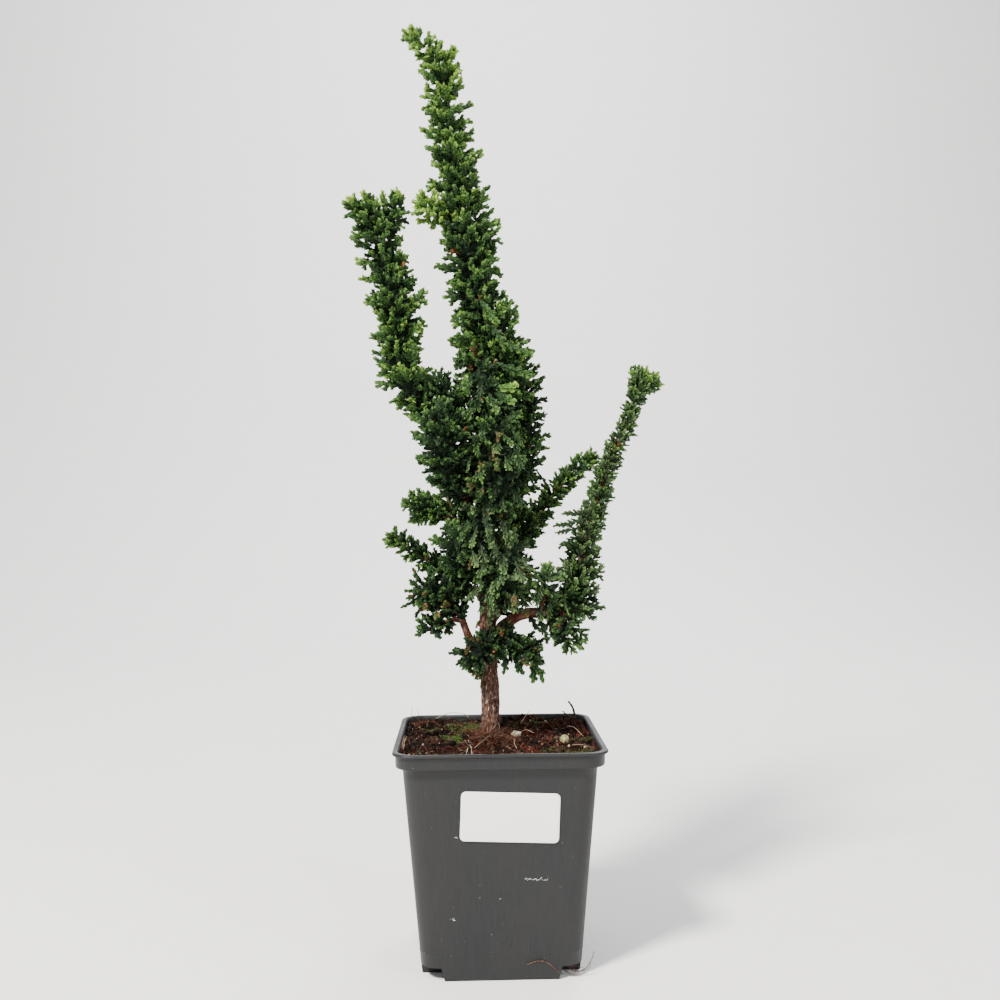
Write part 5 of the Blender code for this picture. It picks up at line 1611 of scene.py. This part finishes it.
def build_moss_tuft(node, material, fresh):
    """A cushion of moss shoots over a lumpy base painted dark as the shade under them."""
    middle, size = box_mm(node)
    base = middle - (0, 0, size[2] / 2)
    reach = size * (0.5, 0.5, 1)
    rng = random.Random(node)
    pile = Pile()
    verts = []
    for ring, place in itertools.product(range(TUFT_RINGS), range(TUFT_SIDES)):
        out = on_ball(TURN * place / TUFT_SIDES, math.pi / 2 * ring / (TUFT_RINGS - 1)) * reach
        verts.append(base + out * 0.80 * (1 + 0.22 * noise.noise(Vector(base + out) / 1.8)))
    verts += [base, base + (0, 0, size[2] * 0.8)]
    # The base is painted dark, as shade under the shoots
    pile.add(verts, tube_faces(TUFT_RINGS, TUFT_SIDES), (fresh * 0.6, 0, 1.0, 0.75))
    for index in range(TUFT_SHOOTS):
        out = on_ball(rng.uniform(0, TURN), math.asin(rng.random())) * reach
        add_moss_sprig(pile, base + out * rng.uniform(0.62, 0.80), rng.uniform(0.6, 1.35), fresh, rng)
    settle(pile.make(f"leafy_{node}", material), "moss", node)


def build_ball(material):
    """A pitted pale ball with a greenish skin."""
    middle, size = box_mm("pale_ball")
    rows, columns = 26, 36
    verts = []
    for row, column in itertools.product(range(rows), range(columns)):
        out = on_ball(TURN * column / columns, math.pi * (row + 0.5) / rows - math.pi / 2)
        pit = 1 + 0.05 * noise.noise(Vector(out) * 4.5) + 0.03 * noise.noise(Vector(out) * 11)
        verts.append(middle + out * size / 2 * pit * 0.98)
    verts += [middle - (0, 0, size[2] / 2), middle + (0, 0, size[2] / 2)]
    pile = Pile()
    pile.add(verts, tube_faces(rows, columns), NO_LOOK)
    settle(pile.make("pitted_ball", material), "pale_scrap", "pale_ball")


def build_scrap(material):
    """A curled and crumpled pale scrap, like a dry flake of bark."""
    middle, size = box_mm("bark_scrap")
    middle = middle + (0, 0, SCRAP_LIFT)
    grid = []
    for across in np.linspace(0, 1, SCRAP_GRID[0]) - 0.5:
        line = []
        for along in np.linspace(0, 1, SCRAP_GRID[1]):
            turn = 0.6 + 3.6 * along
            curl = (0.40 + 0.16 * math.sin(5 * across + 1)) * (1 - 0.25 * along)
            where = Vector((across * 3, along * 4, 2.2)) * 1.7
            spot = np.array((across * (1 - 0.5 * abs(along - 0.5)), curl * math.cos(turn),
                             curl * math.sin(turn)))
            spot += 0.16 * np.array([noise.noise(where + Vector(shift)) for shift in CRUMPLE_SHIFTS])
            line.append(middle + spot * size * SCRAP_STRETCH)
        grid.append(line)
    pile = Pile()
    pile.add(*shell(grid, 0.28), NO_LOOK)
    settle(pile.make("curled_scrap", material), "pale_scrap", "bark_scrap")


def build_twig(material):
    """A dark twig with a side shoot, rough and tapering."""
    pile = Pile()
    for route, low, high in ((TWIG, 0.95, 0.50), (TWIG_SHOOT, 0.55, 0.32)):
        rows = curve(route, 0.5)
        radii = np.linspace(low, high, len(rows))
        radii = radii * [1 + 0.22 * noise.noise(Vector(row) * 1.3) for row in rows]
        pile.add(*strand(rows, radii, 8), NO_LOOK)
    settle(pile.make("dark_twig", material), "bark", "twig")


def build_loop(material):
    """A pale rootlet bent into a loop."""
    pile = Pile()
    pile.add(*strand(curve(LOOP, 0.6), 0.20, 8, 0.7), NO_LOOK)
    settle(pile.make("pale_rootlet", material), "pale_scrap", "root_loop")


def build_root_threads(material):
    """Brown rootlets that come out of the pot's foot at the lower right."""
    pile = Pile()
    for radius, route in THREADS:
        rows = curve(route, 0.8)
        pile.add(*strand(rows, np.linspace(radius, radius * 0.6, len(rows)), 5), (0.1, 0, 0.8, 0))
    settle(pile.make("root_threads", material), "bark")


def build_chalk_marks(material):
    """The chalky scrape and flecks on the pot's front."""
    pile = Pile()
    rng = random.Random("chalk")
    for x, z, count, spread in CHALK_MARKS:
        for index in range(count):
            px = x + (index / max(1, count - 1) - 0.5) * spread
            pz = z + rng.uniform(-0.5, 0.5)
            length = rng.uniform(0.4, 1.1)
            rise = rng.uniform(-0.9, 0.9)
            points = []
            for share in (0, 0.5, 1):
                qx, qz = px + length * share, pz + rise * share + rng.uniform(-0.2, 0.2)
                points.append((qx, -wall_half(qz) - 0.02, qz))
            pile.add(*strand(points, rng.uniform(0.07, 0.17), 4, 0.3, (0, -1, 0)), NO_LOOK)
    settle(pile.make("chalk_marks", material), "pale_scrap")


# Scene

def build_camera():
    yaw, pitch, roll = CAMERA_YAW, CAMERA_PITCH, CAMERA_ROLL
    right = Vector((math.cos(yaw), math.sin(yaw), 0))
    ahead = Vector((-math.sin(yaw) * math.cos(pitch), math.cos(yaw) * math.cos(pitch), math.sin(pitch)))
    above = Vector((math.sin(yaw) * math.sin(pitch), -math.cos(yaw) * math.sin(pitch), math.cos(pitch)))
    side = right * math.cos(roll) - above * math.sin(roll)
    up = right * math.sin(roll) + above * math.cos(roll)
    camera = link("Camera", bpy.data.cameras.new("Camera"))
    camera.data.sensor_width = SENSOR
    camera.data.lens = SENSOR * FOCAL_PIXELS / FRAME_PIXELS
    camera.data.clip_start = 0.01
    turn = Matrix((side, up, -ahead)).transposed().to_4x4()
    camera.matrix_world = Matrix.Translation(Vector(CAMERA_PLACE) * MM) @ turn
    bpy.context.scene.camera = camera


def add_light(name, place, target, size, power, colour):
    light = bpy.data.lights.new(name, "AREA")
    light.shape = "DISK"
    light.size = size
    light.energy = power
    light.color = colour
    made = link(name, light)
    made.location = place
    made.rotation_euler = (Vector(target) - Vector(place)).to_track_quat("-Z", "Y").to_euler()


def build_stage():
    """A pale floor that curves up behind the pot."""
    nodes = Nodes("Pale floor")
    cloud = nodes.noise(60.0, 3.0)
    colour = nodes.ramp(cloud, [(0.3, (0.800, 0.790, 0.770)), (0.7, (0.815, 0.805, 0.785))])
    floor_material = nodes.finish(colour=colour, roughness=0.9, specular=0.1)
    profile = [(FLOOR_FRONT, 0.0), (0.0, 0.0), (FLOOR_DEPTH, 0.0)]
    for index in range(1, FLOOR_STEPS + 1):
        angle = math.pi / 2 * index / FLOOR_STEPS
        profile.append((FLOOR_DEPTH + FLOOR_CURVE * math.sin(angle), FLOOR_CURVE * (1 - math.cos(angle))))
    profile.append((FLOOR_DEPTH + FLOOR_CURVE, FLOOR_TOP))
    verts = [(x, y, z) for y, z in profile for x in (-FLOOR_HALF_WIDTH, FLOOR_HALF_WIDTH)]
    faces = [(2 * row, 2 * row + 1, 2 * row + 3, 2 * row + 2) for row in range(len(profile) - 1)]
    mesh = bpy.data.meshes.new("Floor")
    mesh.from_pydata(verts, [], faces)
    mesh.shade_smooth()
    mesh.materials.append(floor_material)
    link("Floor", mesh)


def build_light():
    """Plain studio light: a pale world, three lamps on the plant and one on the backdrop."""
    world = bpy.data.worlds.new("Studio")
    world.use_nodes = True
    shade = world.node_tree.nodes["Background"]
    shade.inputs["Color"].default_value = (*WORLD_COLOUR, 1.0)
    shade.inputs["Strength"].default_value = WORLD_STRENGTH
    bpy.context.scene.world = world
    for name, place, size, power, colour in LIGHTS:
        add_light(name, place, LIGHT_TARGET, size, power, colour)
    name, place, size, power, colour = BACKDROP_LIGHT
    add_light(name, place, BACKDROP_TARGET, size, power, colour)


build_camera()
build_stage()
build_light()
build_pot(pot_material())
build_label(label_material())
peat = soil_material()
build_soil(peat)
build_fibres(peat)
build_moss(peat)
build_moss_tuft("moss_tuft_1", peat, 1.0)
build_moss_tuft("moss_tuft_2", peat, 0.45)
pale = scrap_material("Pale scrap", (0.200, 0.160, 0.085), (0.600, 0.540, 0.380), 0.9, 0.8)
build_ball(scrap_material("Mossy ball", (0.050, 0.050, 0.012), (0.420, 0.370, 0.190), 1.0, 0.85))
build_scrap(pale)
build_twig(scrap_material("Dark twig", (0.008, 0.006, 0.004), (0.050, 0.036, 0.024), 0.8, 0.8))
build_loop(scrap_material("Pale rootlet", (0.020, 0.016, 0.012), (0.620, 0.580, 0.470), 1.8, 0.8))
bark = bark_material()
build_root_threads(bark)
build_chalk_marks(scrap_material("Chalk", (0.420, 0.410, 0.390), (0.780, 0.770, 0.750), 0.5, 0.9))
build_wood(bark)
build_foliage(leaf_material())
